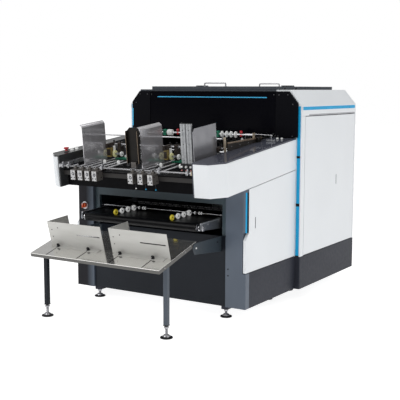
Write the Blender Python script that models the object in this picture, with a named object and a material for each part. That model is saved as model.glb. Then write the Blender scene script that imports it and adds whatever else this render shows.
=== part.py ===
"""Paper grooving machine: a tilted feeder with stack guides in front of a hooded cabinet,
with a delivery conveyor and a stainless delivery table below. Metres, +Z up.
The stack feeder takes the most skill: its guides, clamps, wheels and rods share one tilted bed."""
import math

import bmesh
import bpy
from mathutils import Matrix, Vector

# Shared clearances
GAP = 0.0003          # between solids that touch
SEAM = 0.003          # shut line between fixed panels
DOOR_SEAM = 0.005     # running gap round a door or lid
ROUND = 24            # sides of a round piece

# Cabinet's outline
CABINET_HALF = 0.770
CABINET_DEPTH = 1.020
CHAMFER_IN = 0.098
CHAMFER_DROP = 0.115
BAND_TALL = 0.074     # upright part of the roof housing
ROOF_SHEET = 0.020
PANEL = 0.020         # folded side panels and doors
POST_WIDE = 0.065
POST_DEEP = 0.055
REBATE = 0.025
FRAME_PLATE = 0.020
SERVICE_BAY = 0.150   # from the frame plate's outer face to the cabinet's side
STRIP_WIDE = 0.028
STRIP_DEEP = 0.006
STRIP_EDGE = 0.010    # white edge outside the light strip
STRIP_FOOT = 0.050

# Lower body, measured from its front plane (y = 0) and the floor
BODY_HALF = CABINET_HALF - 0.0414
BODY_DEPTH = 0.745
UNDERSIDE = 0.080
SKIRT_TOP = 0.325
COLUMN_INNER = BODY_HALF - 0.1581
COLUMN_DEPTH = 0.050
WALL_OUTER = COLUMN_INNER - 0.0005
WALL_THICK = 0.025
FRONT_PANEL_SET = 0.012
MOUTH_HALF = COLUMN_INNER - 0.0405
MOUTH_FLOOR = 0.574
MOUTH_TOP = MOUTH_FLOOR + 0.205
SILL = 0.008          # front panel's top below the mouth's floor
LINTEL_SET = 0.0255
NOTCH_LOW = 0.553
NOTCH_HIGH = 0.600
NOTCH_DEPTH = 0.042
CORNER_WIDE = 0.040
CORNER_RETURN = 0.002

# Feeder, tilted down to the front about its datum at (y = 0, z = FEEDER_Z)
FEEDER_TILT = math.radians(6.0)
FEEDER_Z = 1.1245
ARM_DEEP = 0.228
ARM_FRONT = -0.347
ARM_CHAMFER_X = 0.086
ARM_CHAMFER_V = 0.082
RIGHT_ARM_INNER = BODY_HALF - 0.2136
LEFT_ARM_INNER = BODY_HALF - 0.1286
ARM_SHEET = 0.010     # dark inner plate and top plate
ARM_LIP = 0.004
ARM_REAR_OVER = 0.080 # arm length that is cut off upright at the back
FEED_WIDE = LEFT_ARM_INNER + RIGHT_ARM_INNER
FEED_MIDDLE = (RIGHT_ARM_INNER - LEFT_ARM_INNER) / 2
BED_FRONT = -0.262
BED_TOP = -0.125
BEAM_TOP = -0.105
BEAM_DEEP = 0.045
BEAM_TALL = 0.040
LAP = 0.010           # overlap of shapes that are joined
ROD = 0.008
FRONT_ROD_V = -0.335
FRONT_ROD_W = -0.072
GUIDE_ROD_V = 0.090
GUIDE_ROD_LOW = 0.019
GUIDE_ROD_HIGH = 0.086
ROD_PLATE = 0.008
ROD_PLATE_HALF = 0.012
ROD_FOOT_LOW = -0.085
ROD_FOOT_HIGH = -0.055
RAIL_BLOCK = (0.042, 0.070, 0.073)
RAIL_BLOCK_TOP = FRONT_ROD_W - 2 * ROD
RAIL_ROD = 0.006
RAIL_END = 0.640
RAIL_BAR = 0.012
LEFT_RAILS = (-0.3700, 0.0565, 4)  # first place and pitch as shares of the feeder's width, count
RIGHT_RAILS = (0.0758, 0.0726, 3)
WHEEL_R = 0.015
WHEEL_WIDE = 0.010
WHEEL_AXLE = 0.004
WHEEL_V = -0.052
WHEEL_W = -0.088
WHEEL_STEP = 0.029    # from a rail's rod to the wheel beside it
GUIDE_SHEET = 0.004
GUIDE_LOW = BEAM_TOP + 0.024
GUIDE_LIP = 0.022
# Each guide: place as a share of the feeder's width, front and rear edges, top, flare of the lip
STACK_GUIDES = {
    "left_stack_guide": (-0.3655, -0.250, 0.008, 0.206, 0.018),
    "middle_stack_guide": (0.0830, -0.243, 0.015, 0.200, 0.022),
    "right_stack_guide": (0.4552, -0.235, 0.055, 0.200, 0.0),
}
CLAMP_WIDE = 0.021
CLAMP_MARGIN = 0.016
CHANNEL_PLACES = (-0.0112, 0.0789)
CHANNEL_V = (-0.2695, -0.2445)
CHANNEL_W = (-0.045, 0.200)
CHANNEL_CORNER = 0.022
CHANNEL_FOOT = 0.030
POST_PLACES = (0.3695, 0.4103)
POST_HALF = 0.0195
POST_V = (-0.205, -0.187)
POST_W = (-0.042, 0.230)
POST_GROOVE = (0.002, 0.004)        # width, depth
POST_BASE = (0.3475, 0.4327)
UNIT_PLACES = {"left_press_unit": -0.3027, "right_press_unit": 0.1457}
UNIT_HALF = 0.014
UNIT_V = (0.070, 0.112)
UNIT_W = (-0.083, 0.036)
UNIT_WHEEL_V = 0.020  # wheel axle in front of the body
UNIT_WHEEL_W = -0.045
UNIT_WHEEL_R = 0.026
UNIT_WHEEL_WIDE = 0.010
UNIT_WHEEL_X = 0.024
UNIT_ROLL_R = 0.018
UNIT_ROLL_WIDE = 0.012
UNIT_ROLL_X = 0.036
UNIT_LUG = 0.008
UNIT_FOOT = (-0.025, 0.098)         # from the body's middle to the foot plate's ends
UNIT_FOOT_THICK = 0.011
UNIT_ARM = (-0.085, -0.055, -0.035) # end, underside and top of the arm to the roller block
UNIT_BLOCK = (-0.104, -0.052, -0.070, 0.0)  # two sides, underside and top of the roller block
NIP_V = 0.500
NIP_W = 0.052
NIP_ROD = 0.006
NIP_DISC_R = 0.023
NIP_DISC_WIDE = 0.006
NIP_BLOCK = (0.012, 0.014, 0.022)   # half sizes of the bearing block
NIP_KNOB_R = 0.010
NIP_KNOB_TALL = 0.040
NIP_KNOB_LIFT = 0.008
# Each group: block as a share of the feeder's width, first disc, disc pitch, disc count, knob
NIP_GROUPS = ((-0.1924, 0.031, 0.015, 3, 0.115), (0.2265, 0.038, 0.038, 4, 0.198))

# Hood over the feed slot, and the roof above it
HOOD_CLEAR = 0.025
HOOD_TALL = 0.324
HOOD_PROUD = 0.020
HOOD_RIM = 0.020
HOOD_TOP_SET = 0.012
ARM_END_TOP = FEEDER_Z + BODY_DEPTH * math.tan(FEEDER_TILT)
HOOD_LOW = ARM_END_TOP + HOOD_CLEAR
HOOD_SIDE_LOW = ARM_END_TOP + SEAM
HOOD_SIDE = CABINET_HALF - 0.028
HOOD_GLASS_HALF = HOOD_SIDE - 0.177
GLASS_SET = 0.004
CABINET_REAR = BODY_DEPTH + CABINET_DEPTH
ROOF = HOOD_LOW + HOOD_TALL
ROOF_HALF = CABINET_HALF - CHAMFER_IN
CHAMFER_LOW = ROOF - CHAMFER_DROP
BAND_LOW = CHAMFER_LOW - BAND_TALL
STRIP_HEAD = CHAMFER_LOW - SEAM
FRAME_PLATE_X = CABINET_HALF - SERVICE_BAY

# Lids over the roof opening
LID_HALF = ROOF_HALF - 0.110
LID_FRONT = BODY_DEPTH + 0.003
LID_REAR = CABINET_REAR - 0.015
LID_THICK = 0.025
LID_BAR = 0.036       # fixed bar between the two lids
LID_MARGIN = 0.045
BOW_LENGTH = 0.190
BOW_RISE = 0.026
BOW_ROD = 0.005
BOW_INSET = 0.050
KNUCKLE_R = 0.0045
KNUCKLE_LONG = 0.030
KNUCKLE_PLACE = 0.400
LEAF = 0.002
LEAF_WIDE = 0.017

# Door pivots and finger slots
PIVOT_R = 0.005
PULL = (0.012, 0.078, 0.012)        # width, height, depth
FRONT_PULL = (0.131, 0.659)         # distance behind the front plane, height
REAR_PULL = (0.643, 0.850)          # distance behind the lower body, height

# Delivery conveyor, tilted about its front roller
CONVEYOR_TILT = math.radians(1.5)
ROLLER_Y = -0.188
ROLLER_Z = MOUTH_FLOOR + 0.0695
BELT_R = 0.028
BELT_SHEET = 0.003
BELT_HALF = MOUTH_HALF - 0.060
BELT_BED_END = 0.036  # from a roller's axis to the slider bed
CONVEYOR_LONG = 0.620
CHEEK_X = MOUTH_HALF - 0.033
CHEEK = 0.014
CHEEK_OUTLINE = ((-0.024, -0.013), (-0.020, 0.031), (CONVEYOR_LONG + 0.020, 0.058),
                 (CONVEYOR_LONG + 0.020, -0.024), (0.240, -0.036))
SHAFT_R = 0.010

# Press bar over the conveyor
PRESS_ROD_Y = 0.058
PRESS_ROD_R = 0.007
PRESS_ROD_LIFT = 0.023
PRESS_RAIL_X = 0.240
PRESS_WHEEL_R = 0.020
PRESS_WHEEL_WIDE = 0.012
PRESS_WHEEL_X = 0.009
PRESS_WHEELS = 4
PRESS_PITCH = 0.072
PRESS_RAIL = (0.004, -0.006, 0.008) # half thickness, underside and top from the wheels' centres
PRESS_BLOCK = (-0.012, 0.003, 0.012, -0.020)    # two sides, half depth, underside from the rod
STRIPPER_X = 0.120
STRIPPER_Y = 0.150
STRIPPER_Z = MOUTH_FLOOR + 0.151
STRIPPER_TALL = 0.025
STRIPPER_SHEET = 0.004

# Delivery table, tilted about its front edge
TABLE_TILT = math.radians(15.6)
TABLE_FRONT_Y = -0.725
TABLE_FRONT_Z = 0.458
TABLE_HALF = MOUTH_HALF - 0.002
TABLE_LONG = 0.440
TABLE_SHEET = 0.003
TABLE_FLANGE = 0.026
SLOT_WIDE = 0.008
SLOT_FRONT = 0.008
SLOT_REAR = 0.220
TRAY_X = TABLE_HALF / 2 - 0.002     # middle between a tray's two studs
TRAY_SHIFT = 0.020    # from there to the sheet's middle
TRAY_HALF = TRAY_X - 0.034
TRAY_SLOT_X = 0.130
TRAY_STAND = 0.158    # distance of the upright from the table's front edge
TRAY_TALL = 0.170
TRAY_REAR_TALL = 0.130
TRAY_SHEET = 0.003
TRAY_FOOT = 0.040
TRAY_SIDE = 0.207
TRAY_FOOT_INSET = 0.030
WINDOW_LOW = 0.087
WINDOW_HIGH = 0.096
WINDOW_EDGE = 0.019
KNOB_SET = 0.022      # knob centre in front of the upright
KNOB_R = 0.013
KNOB_TALL = 0.020
STUD_R = 0.003
STUD_LONG = 0.032
LEG_X = TABLE_HALF - 0.031
LEG_Y = TABLE_FRONT_Y + 0.125
LEG_WIDE = 0.030
LEG_FOOT_Z = 0.082
BRACKET_DEEP = 0.095
BRACKET_THICK = 0.005
BRACKET_FRONT = -0.345
BRACKET_NOSE = 0.020
BRACKET_CORNER = (0.012, 0.035)     # upright front edge, below the top edge
BRACKET_TAB = 0.030

# Levelling feet
DISC_R = 0.041
DISC_THICK = 0.010
STEM_R = 0.009
STEM_IN = 0.008
NUT_THICK = 0.010
NUT_DROP = 0.018      # nut centre below the end of the stem
FOOT_BLOCK = 0.050
FOOT_BLOCK_DEEP = 0.024
FOOT_X = COLUMN_INNER - 0.0175
FOOT_Y = 0.045
PLINTH_CHAMFER = 0.012

# Small controls
ISOLATOR_X = -(BODY_HALF - 0.0806)
ISOLATOR_Z = 0.693
ISOLATOR_R = 0.028
ISOLATOR_PLATE = 0.006
DIAL_R = 0.019
DIAL_DEEP = 0.018
DIAL_BLADE = 0.005
DIAL_BLADE_OUT = 0.012
DIAL_BLADE_IN = 0.008
STOP_X = -(LEFT_ARM_INNER + 0.064)
STOP_V = -0.183
STOP_R = 0.020

# The machine's box runs from the table's front lip to the back cover
MID_Y = (TABLE_FRONT_Y + CABINET_REAR) / 2


def clear_scene():
    for obj in list(bpy.data.objects):
        bpy.data.objects.remove(obj)


def finish(name, rgb, rough, metal=0.0, alpha=1.0):
    mat = bpy.data.materials.new(name)
    mat.use_nodes = True
    shader = mat.node_tree.nodes["Principled BSDF"]
    shader.inputs["Base Color"].default_value = (*rgb, 1.0)
    shader.inputs["Roughness"].default_value = rough
    shader.inputs["Metallic"].default_value = metal
    shader.inputs["Alpha"].default_value = alpha
    return mat


def datum(name, place, tilt=0.0, parent=None):
    empty = bpy.data.objects.new(name, None)
    bpy.context.collection.objects.link(empty)
    empty.location = place
    empty.rotation_euler = (tilt, 0.0, 0.0)
    empty.parent = parent
    return empty


def add_box(bm, low, high):
    size = Vector(high) - Vector(low)
    middle = (Vector(high) + Vector(low)) / 2
    place = Matrix.Translation(middle) @ Matrix.Diagonal((*size, 1.0))
    bmesh.ops.create_cube(bm, size=1.0, matrix=place)


def add_prism(bm, outline, axis, start, end):
    """Extrude a plane outline along x, y or z. The outline gives the two other coordinates
    in order, and its turning sense does not matter."""
    order = {"x": (2, 0, 1), "y": (0, 2, 1), "z": (0, 1, 2)}[axis]
    rows = []
    for height in (start, end):
        row = []
        for point in outline:
            values = (point[0], point[1], height)
            row.append(bm.verts.new([values[i] for i in order]))
        rows.append(row)
    count = len(outline)
    faces = [bm.faces.new(rows[0]), bm.faces.new(rows[1])]
    for i in range(count):
        j = (i + 1) % count
        faces.append(bm.faces.new((rows[0][i], rows[0][j], rows[1][j], rows[1][i])))
    bmesh.ops.recalc_face_normals(bm, faces=faces)


def add_round(bm, place, axis, radius, length, sides=ROUND):
    """A cylinder centred on place, along x, y or z."""
    turn = {"x": Matrix.Rotation(math.pi / 2, 4, "Y"),
            "y": Matrix.Rotation(math.pi / 2, 4, "X"),
            "z": Matrix.Identity(4)}[axis]
    bmesh.ops.create_cone(bm, cap_ends=True, segments=sides, radius1=radius, radius2=radius,
                          depth=length, matrix=Matrix.Translation(place) @ turn)


def solid(name, build, mat, parent, place=(0.0, 0.0, 0.0), hidden=False):
    """Make one object from a function that fills a bmesh."""
    bm = bmesh.new()
    build(bm)
    mesh = bpy.data.meshes.new(name)
    bm.to_mesh(mesh)
    bm.free()
    obj = bpy.data.objects.new(name, mesh)
    bpy.context.collection.objects.link(obj)
    obj.parent = parent
    obj.location = place
    if hidden:
        obj.hide_render = True
        obj.display_type = "WIRE"
    else:
        mesh.materials.append(mat)
    return obj


def combine(obj, how, build):
    """Join more shapes to an object, or cut them from it."""
    tool = solid(obj.name + "_" + how.lower(), build, None, obj.parent, obj.location, hidden=True)
    step = obj.modifiers.new(how.title(), "BOOLEAN")
    step.operation = how
    step.object = tool
    step.solver = "EXACT"
    step.use_self = True
    return obj


def make_finishes():
    return {
        "slate": finish("slate_paint", (0.10, 0.12, 0.15), 0.45),
        "grey": finish("column_paint", (0.16, 0.19, 0.23), 0.45),
        "skirt": finish("skirt_paint", (0.09, 0.09, 0.11), 0.5),
        "white": finish("white_paint", (0.80, 0.81, 0.82), 0.4),
        "black": finish("black_paint", (0.012, 0.012, 0.015), 0.4),
        "glass": finish("smoked_glass", (0.01, 0.01, 0.012), 0.06, 0.0, 0.6),
        "lid": finish("lid_paint", (0.06, 0.065, 0.08), 0.5),
        "blue": finish("light_strip", (0.01, 0.30, 0.65), 0.4),
        "steel": finish("brushed_steel", (0.55, 0.55, 0.56), 0.3, 1.0),
        "chrome": finish("chrome", (0.75, 0.75, 0.76), 0.12, 1.0),
        "alu": finish("aluminium", (0.60, 0.61, 0.64), 0.35, 1.0),
        "rubber": finish("belt_rubber", (0.02, 0.02, 0.022), 0.55),
        "red": finish("red_plastic", (0.60, 0.03, 0.03), 0.35),
        "green": finish("green_paint", (0.01, 0.20, 0.12), 0.4),
    }


def levelling_foot(bm, x, y, top):
    """A disc on the floor with its stem up into what it carries."""
    add_round(bm, (x, y, DISC_THICK / 2), "z", DISC_R, DISC_THICK)
    add_round(bm, (x, y, DISC_THICK * 1.5 - GAP), "z", DISC_R * 0.55, DISC_THICK + 2 * GAP)
    add_round(bm, (x, y, (DISC_THICK + top) / 2), "z", STEM_R, top - DISC_THICK, 12)
    add_round(bm, (x, y, top - NUT_DROP), "z", STEM_R * 1.9, NUT_THICK, 6)


def machine_feet(places):
    """Levelling feet under small blocks that hang from the base."""
    def build(bm):
        for x, y in places:
            half, low = FOOT_BLOCK / 2, UNDERSIDE - FOOT_BLOCK_DEEP
            rear = y + FOOT_BLOCK
            levelling_foot(bm, x, y, low + STEM_IN)
            add_box(bm, (x - half, y - half, low), (x + half, rear, UNDERSIDE - GAP))
            riser = max(y - half, COLUMN_DEPTH + 2 * GAP)
            add_box(bm, (x - half, riser, low + STEM_IN / 2), (x + half, rear, UNDERSIDE + LAP))
    return build


def arm_bottom(y):
    """World height of the underside of the feeder at a distance behind the body's front."""
    return FEEDER_Z + y * math.tan(FEEDER_TILT) - ARM_DEEP / math.cos(FEEDER_TILT)


def build_base(root, mats):
    base = solid("body_base", lambda bm: add_box(
        bm, (-BODY_HALF, COLUMN_DEPTH + GAP, UNDERSIDE), (BODY_HALF, BODY_DEPTH - GAP, SKIRT_TOP)),
        mats["skirt"], root)
    rear = BODY_DEPTH - FOOT_Y - FOOT_BLOCK
    combine(base, "UNION", machine_feet([(side * FOOT_X, y) for side in (-1, 1) for y in (FOOT_Y, rear)]))

    def plinth(bm):
        low, bevel = CABINET_HALF - PLINTH_CHAMFER / 3, BODY_DEPTH + PLINTH_CHAMFER
        outline = [(-low, BODY_DEPTH), (low, BODY_DEPTH), (CABINET_HALF, bevel),
                   (CABINET_HALF, CABINET_REAR), (-CABINET_HALF, CABINET_REAR), (-CABINET_HALF, bevel)]
        add_prism(bm, outline, "z", UNDERSIDE, SKIRT_TOP)
    cabinet = solid("cabinet_base", plinth, mats["skirt"], root)
    spots = [(side * FOOT_X, y) for side in (-1, 1)
             for y in (BODY_DEPTH + 5 * FOOT_BLOCK, CABINET_REAR - 2 * FOOT_BLOCK)]
    combine(cabinet, "UNION", machine_feet(spots))


def build_columns(root, mats):
    top = arm_bottom(0.0) - SEAM

    def column(side, outer):
        def build(bm):
            for low, high, out in ((UNDERSIDE, SKIRT_TOP - GAP, BODY_HALF), (SKIRT_TOP - LAP, top, outer)):
                x0, x1 = sorted((side * COLUMN_INNER, side * out))
                add_box(bm, (x0, 0.0, low), (x1, COLUMN_DEPTH, high))
        return build

    def corner(side):
        inner, edge = BODY_HALF - CORNER_WIDE, BODY_HALF - PANEL
        rear = NOTCH_DEPTH - DOOR_SEAM
        outline = [(side * inner, 0.0), (side * edge, 0.0), (side * BODY_HALF, rear - CORNER_RETURN),
                   (side * BODY_HALF, rear), (side * inner, rear)]
        return lambda bm: add_prism(bm, outline, "z", NOTCH_HIGH + SEAM, top)

    for name, side, clear in (("left_column", -1, GAP), ("right_column", 1, DOOR_SEAM)):
        obj = solid(name, column(side, BODY_HALF - PANEL - clear), mats["grey"], root)
        combine(obj, "UNION", corner(side))


def build_front(root, mats):
    inner = COLUMN_INNER - GAP
    solid("front_panel", lambda bm: add_box(
        bm, (-inner, FRONT_PANEL_SET, UNDERSIDE), (inner, COLUMN_DEPTH, MOUTH_FLOOR - SILL)),
        mats["slate"], root)

    def frame(bm):
        low = MOUTH_FLOOR - SILL + GAP
        high = arm_bottom(LINTEL_SET) - SEAM
        outline = [(-inner, low), (-MOUTH_HALF, low), (-MOUTH_HALF, MOUTH_TOP), (MOUTH_HALF, MOUTH_TOP),
                   (MOUTH_HALF, low), (inner, low), (inner, high), (-inner, high)]
        add_prism(bm, outline, "y", LINTEL_SET, COLUMN_DEPTH)
    solid("mouth_frame", frame, mats["grey"], root)


def build_inner_body(root, mats):
    front, rear = COLUMN_DEPTH + GAP, BODY_DEPTH - GAP
    inner = WALL_OUTER - WALL_THICK

    def side_outline(low):
        return [(front, low), (rear, low), (rear, arm_bottom(rear) - GAP), (front, arm_bottom(front) - GAP)]

    for name, side in (("left_wall", -1), ("right_wall", 1)):
        x0, x1 = sorted((side * inner, side * WALL_OUTER))
        solid(name, lambda bm: add_prism(bm, side_outline(SKIRT_TOP + GAP), "x", x0, x1), mats["slate"], root)
    solid("drive_housing", lambda bm: add_box(
        bm, (-inner + GAP, front, SKIRT_TOP + GAP), (inner - GAP, rear, MOUTH_FLOOR - 2 * SILL)),
        mats["black"], root)
    solid("upper_housing", lambda bm: add_prism(
        bm, side_outline(MOUTH_TOP + SILL), "x", -inner + GAP, inner - GAP), mats["black"], root)


def side_door_outline(clear):
    low = SKIRT_TOP + clear
    rear = BODY_DEPTH - clear
    return [(0.0, low), (0.0, NOTCH_LOW), (NOTCH_DEPTH, NOTCH_HIGH),
            (NOTCH_DEPTH, arm_bottom(NOTCH_DEPTH) - clear), (rear, arm_bottom(rear) - clear), (rear, low)]


def finger_slot(face, y, z):
    """A slot recess for the fingers in a right-hand panel."""
    wide, tall, deep = PULL
    return lambda bm: add_box(bm, (face - deep, y - wide / 2, z - tall / 2), (face + LAP, y + wide / 2, z + tall / 2))


def pivot_pins(x, y, low, high):
    """Short pins at the foot and head of a door, on its hinge line."""
    def build(bm):
        add_round(bm, (x, y, low - DOOR_SEAM / 2 + GAP), "z", PIVOT_R, DOOR_SEAM, 12)
        add_round(bm, (x, y, high + DOOR_SEAM / 2 - GAP), "z", PIVOT_R, DOOR_SEAM, 12)
    return build


def build_body_doors(root, mats):
    outer, inner = BODY_HALF, BODY_HALF - PANEL
    solid("left_front_panel", lambda bm: add_prism(bm, side_door_outline(SEAM), "x", -outer, -inner),
          mats["white"], root)
    x, y = outer - PANEL / 2, BODY_DEPTH - DOOR_SEAM - PANEL / 2
    hinge = datum("front_door_axis", (x, y, 0.0), parent=root)
    shift = -Vector(hinge.location)
    door = solid("front_side_door", lambda bm: add_prism(bm, side_door_outline(DOOR_SEAM), "x", inner, outer),
                 mats["white"], hinge, shift)
    low = SKIRT_TOP + DOOR_SEAM
    combine(door, "DIFFERENCE", finger_slot(outer, *FRONT_PULL))
    combine(door, "UNION", pivot_pins(x, y, low, arm_bottom(y - PIVOT_R) - DOOR_SEAM))


def build_cabinet(root, mats):
    front = BODY_DEPTH + GAP
    base = SKIRT_TOP + GAP
    rebate = CABINET_HALF - PANEL
    for name, side, clear in (("left_post", -1, GAP), ("right_post", 1, DOOR_SEAM)):
        def section():
            inner, lip = CABINET_HALF - POST_WIDE, front + POST_DEEP + REBATE
            return [(side * inner, front), (side * CABINET_HALF, front), (side * CABINET_HALF, front + POST_DEEP),
                    (side * (rebate - clear), front + POST_DEEP), (side * (rebate - clear), lip), (side * inner, lip)]
        obj = solid(name, lambda bm: add_prism(bm, section(), "z", base, BAND_LOW - GAP), mats["white"], root)
        edge = CABINET_HALF - STRIP_EDGE
        a, b = sorted((side * edge, side * (edge - STRIP_WIDE)))
        foot = base + STRIP_FOOT
        combine(obj, "DIFFERENCE", lambda bm: add_box(
            bm, (a, front - LAP, foot), (b, front + STRIP_DEEP, BAND_LOW + LAP)))
        solid(name.replace("post", "light_strip"), lambda bm: add_box(
            bm, (a + GAP, front, foot + GAP), (b - GAP, front + STRIP_DEEP - GAP, STRIP_HEAD - GAP)),
            mats["blue"], root)

    def roof(bm):
        t = ROOF_SHEET
        slant = t * 0.4
        outline = [(-CABINET_HALF, BAND_LOW), (-CABINET_HALF, CHAMFER_LOW), (-ROOF_HALF, ROOF),
                   (ROOF_HALF, ROOF), (CABINET_HALF, CHAMFER_LOW), (CABINET_HALF, BAND_LOW),
                   (CABINET_HALF - t, BAND_LOW), (CABINET_HALF - t, CHAMFER_LOW - slant),
                   (ROOF_HALF - slant, ROOF - t), (-ROOF_HALF + slant, ROOF - t),
                   (-CABINET_HALF + t, CHAMFER_LOW - slant), (-CABINET_HALF + t, BAND_LOW)]
        add_prism(bm, outline, "y", front, CABINET_REAR - PANEL - GAP)
    shell = solid("roof_shell", roof, mats["white"], root)

    def holes(bm):
        half = LID_HALF - LID_MARGIN
        low = ROOF - ROOF_SHEET - LAP
        add_box(bm, (-half, LID_FRONT + LID_MARGIN, low), (half, LID_REAR - LID_MARGIN, ROOF + LAP))
        for side in (-1, 1):
            a, b = sorted((side * (CABINET_HALF - STRIP_EDGE), side * (CABINET_HALF - STRIP_EDGE - STRIP_WIDE)))
            add_box(bm, (a, front - LAP, BAND_LOW - LAP), (b, front + STRIP_DEEP, STRIP_HEAD))
    combine(shell, "DIFFERENCE", holes)

    for name, side in (("left_frame_plate", -1), ("right_frame_plate", 1)):
        x0, x1 = sorted((side * (FRAME_PLATE_X - FRAME_PLATE), side * FRAME_PLATE_X))
        solid(name, lambda bm: add_box(
            bm, (x0, front + POST_DEEP, base), (x1, CABINET_REAR - PANEL - GAP, ROOF - ROOF_SHEET - GAP)),
            mats["slate"], root)

    def back(bm):
        outline = [(-CABINET_HALF, base), (CABINET_HALF, base), (CABINET_HALF, CHAMFER_LOW),
                   (ROOF_HALF, ROOF), (-ROOF_HALF, ROOF), (-CABINET_HALF, CHAMFER_LOW)]
        add_prism(bm, outline, "y", CABINET_REAR - PANEL, CABINET_REAR)
    solid("rear_cover", back, mats["white"], root)
    build_cabinet_doors(root, mats)


def build_cabinet_doors(root, mats):
    outer, inner = CABINET_HALF, CABINET_HALF - PANEL
    y0 = BODY_DEPTH + GAP + POST_DEEP + DOOR_SEAM
    y1 = CABINET_REAR - PANEL - DOOR_SEAM
    low, high = SKIRT_TOP + DOOR_SEAM, BAND_LOW - DOOR_SEAM
    solid("left_rear_panel", lambda bm: add_box(bm, (-outer, y0, low), (-inner, y1, high)), mats["white"], root)
    x, y = outer - PANEL / 2, y0 + PANEL / 2
    hinge = datum("rear_door_axis", (x, y, 0.0), parent=root)
    door = solid("rear_side_door", lambda bm: add_box(bm, (inner, y0, low), (outer, y1, high)),
                 mats["white"], hinge, -Vector(hinge.location))
    combine(door, "DIFFERENCE", finger_slot(outer, BODY_DEPTH + REAR_PULL[0], REAR_PULL[1]))
    combine(door, "UNION", pivot_pins(x, y, low, high))


def bow_stems(middle_y, top):
    """The two thinner stems under a bow handle's rod."""
    def build(bm):
        high = BOW_RISE + BOW_ROD * 0.3
        for x in (-BOW_LENGTH / 2, BOW_LENGTH / 2):
            add_round(bm, (x, middle_y, top + (high + GAP) / 2), "z", BOW_ROD * 0.8, high - GAP, 12)
    return build


def lid_knuckles(axis_y, top, toward, offsets):
    """Hinge knuckles on the axis, each with its leaf toward the piece that it turns with."""
    def build(bm):
        for place in (-KNUCKLE_PLACE, KNUCKLE_PLACE):
            for offset in offsets:
                x = place + offset * (KNUCKLE_LONG + 2 * GAP)
                half = KNUCKLE_LONG / 2
                add_round(bm, (x, axis_y, top + KNUCKLE_R), "x", KNUCKLE_R, KNUCKLE_LONG, 12)
                a, b = sorted((axis_y + toward * DOOR_SEAM, axis_y + toward * LEAF_WIDE))
                add_box(bm, (x - half + GAP, a, top - LEAF), (x + half - GAP, b, top + LEAF))
                a, b = sorted((axis_y + toward * LEAF, axis_y + toward * (DOOR_SEAM + LEAF)))
                add_box(bm, (x - half + LEAF, a, top + LEAF / 2), (x + half - LEAF, b, top + KNUCKLE_R * 0.8))
    return build


def build_lids(root, mats):
    low, high = ROOF + GAP, ROOF + LID_THICK
    middle = (LID_FRONT + LID_REAR) / 2
    half_bar = LID_BAR / 2
    bar = solid("lid_bar", lambda bm: add_box(
        bm, (-LID_HALF, middle - half_bar, low), (LID_HALF, middle + half_bar, high)), mats["lid"], root)
    reach = half_bar + DOOR_SEAM / 2
    for name, side, edge in (("front_lid", -1, LID_FRONT), ("rear_lid", 1, LID_REAR)):
        axis_y = middle + side * reach
        combine(bar, "UNION", lid_knuckles(axis_y, high, -side, (-1, 1)))
        hinge = datum(name + "_axis", (0.0, axis_y, high + KNUCKLE_R), parent=root)
        y0, y1 = sorted((middle + side * (half_bar + DOOR_SEAM), edge))
        lid = solid(name, lambda bm: add_box(bm, (-LID_HALF, y0, low), (LID_HALF, y1, high)),
                    mats["lid"], hinge, -Vector(hinge.location))
        combine(lid, "UNION", lid_knuckles(axis_y, high, side, (0,)))
        bow_y = edge - side * BOW_INSET
        bow = solid(name.replace("lid", "bow"), lambda bm: add_round(
            bm, (0.0, bow_y, high + BOW_RISE), "x", BOW_ROD, BOW_LENGTH + 3 * BOW_ROD, 12),
            mats["chrome"], hinge, -Vector(hinge.location))
        combine(bow, "UNION", bow_stems(bow_y, high))


def build_hood(root, mats):
    y0, y1 = BODY_DEPTH - HOOD_PROUD, BODY_DEPTH - GAP
    glass_top = ROOF - HOOD_RIM

    def frame(bm):
        slope = CHAMFER_DROP / CHAMFER_IN
        top = ROOF - HOOD_TOP_SET
        top_half = ROOF_HALF - SEAM
        side_top = top - (HOOD_SIDE - top_half) * slope
        half = HOOD_GLASS_HALF
        outline = [(-HOOD_SIDE, HOOD_SIDE_LOW), (-HOOD_SIDE, side_top), (-top_half, top), (top_half, top),
                   (HOOD_SIDE, side_top), (HOOD_SIDE, HOOD_SIDE_LOW), (half, HOOD_SIDE_LOW), (half, glass_top),
                   (-half, glass_top), (-half, HOOD_SIDE_LOW)]
        add_prism(bm, outline, "y", y0, y1)
    solid("hood_frame", frame, mats["black"], root)
    half = HOOD_GLASS_HALF - GAP
    solid("hood_glass", lambda bm: add_box(
        bm, (-half, y0 + GLASS_SET, HOOD_LOW), (half, y1, glass_top - GAP)), mats["glass"], root)


def upright_end(bm):
    """A tool that ends the feeder's arms on the cabinet's upright front plane."""
    def along(w):
        return (BODY_DEPTH - SEAM + w * math.sin(FEEDER_TILT)) / math.cos(FEEDER_TILT)
    low, high = -ARM_DEEP - LAP, LAP
    far = along(0.0) + 2 * ARM_REAR_OVER
    wide = BODY_HALF + LAP
    add_prism(bm, [(along(low), low), (along(high), high), (far, high), (far, low)], "x", -wide, wide)


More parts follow.
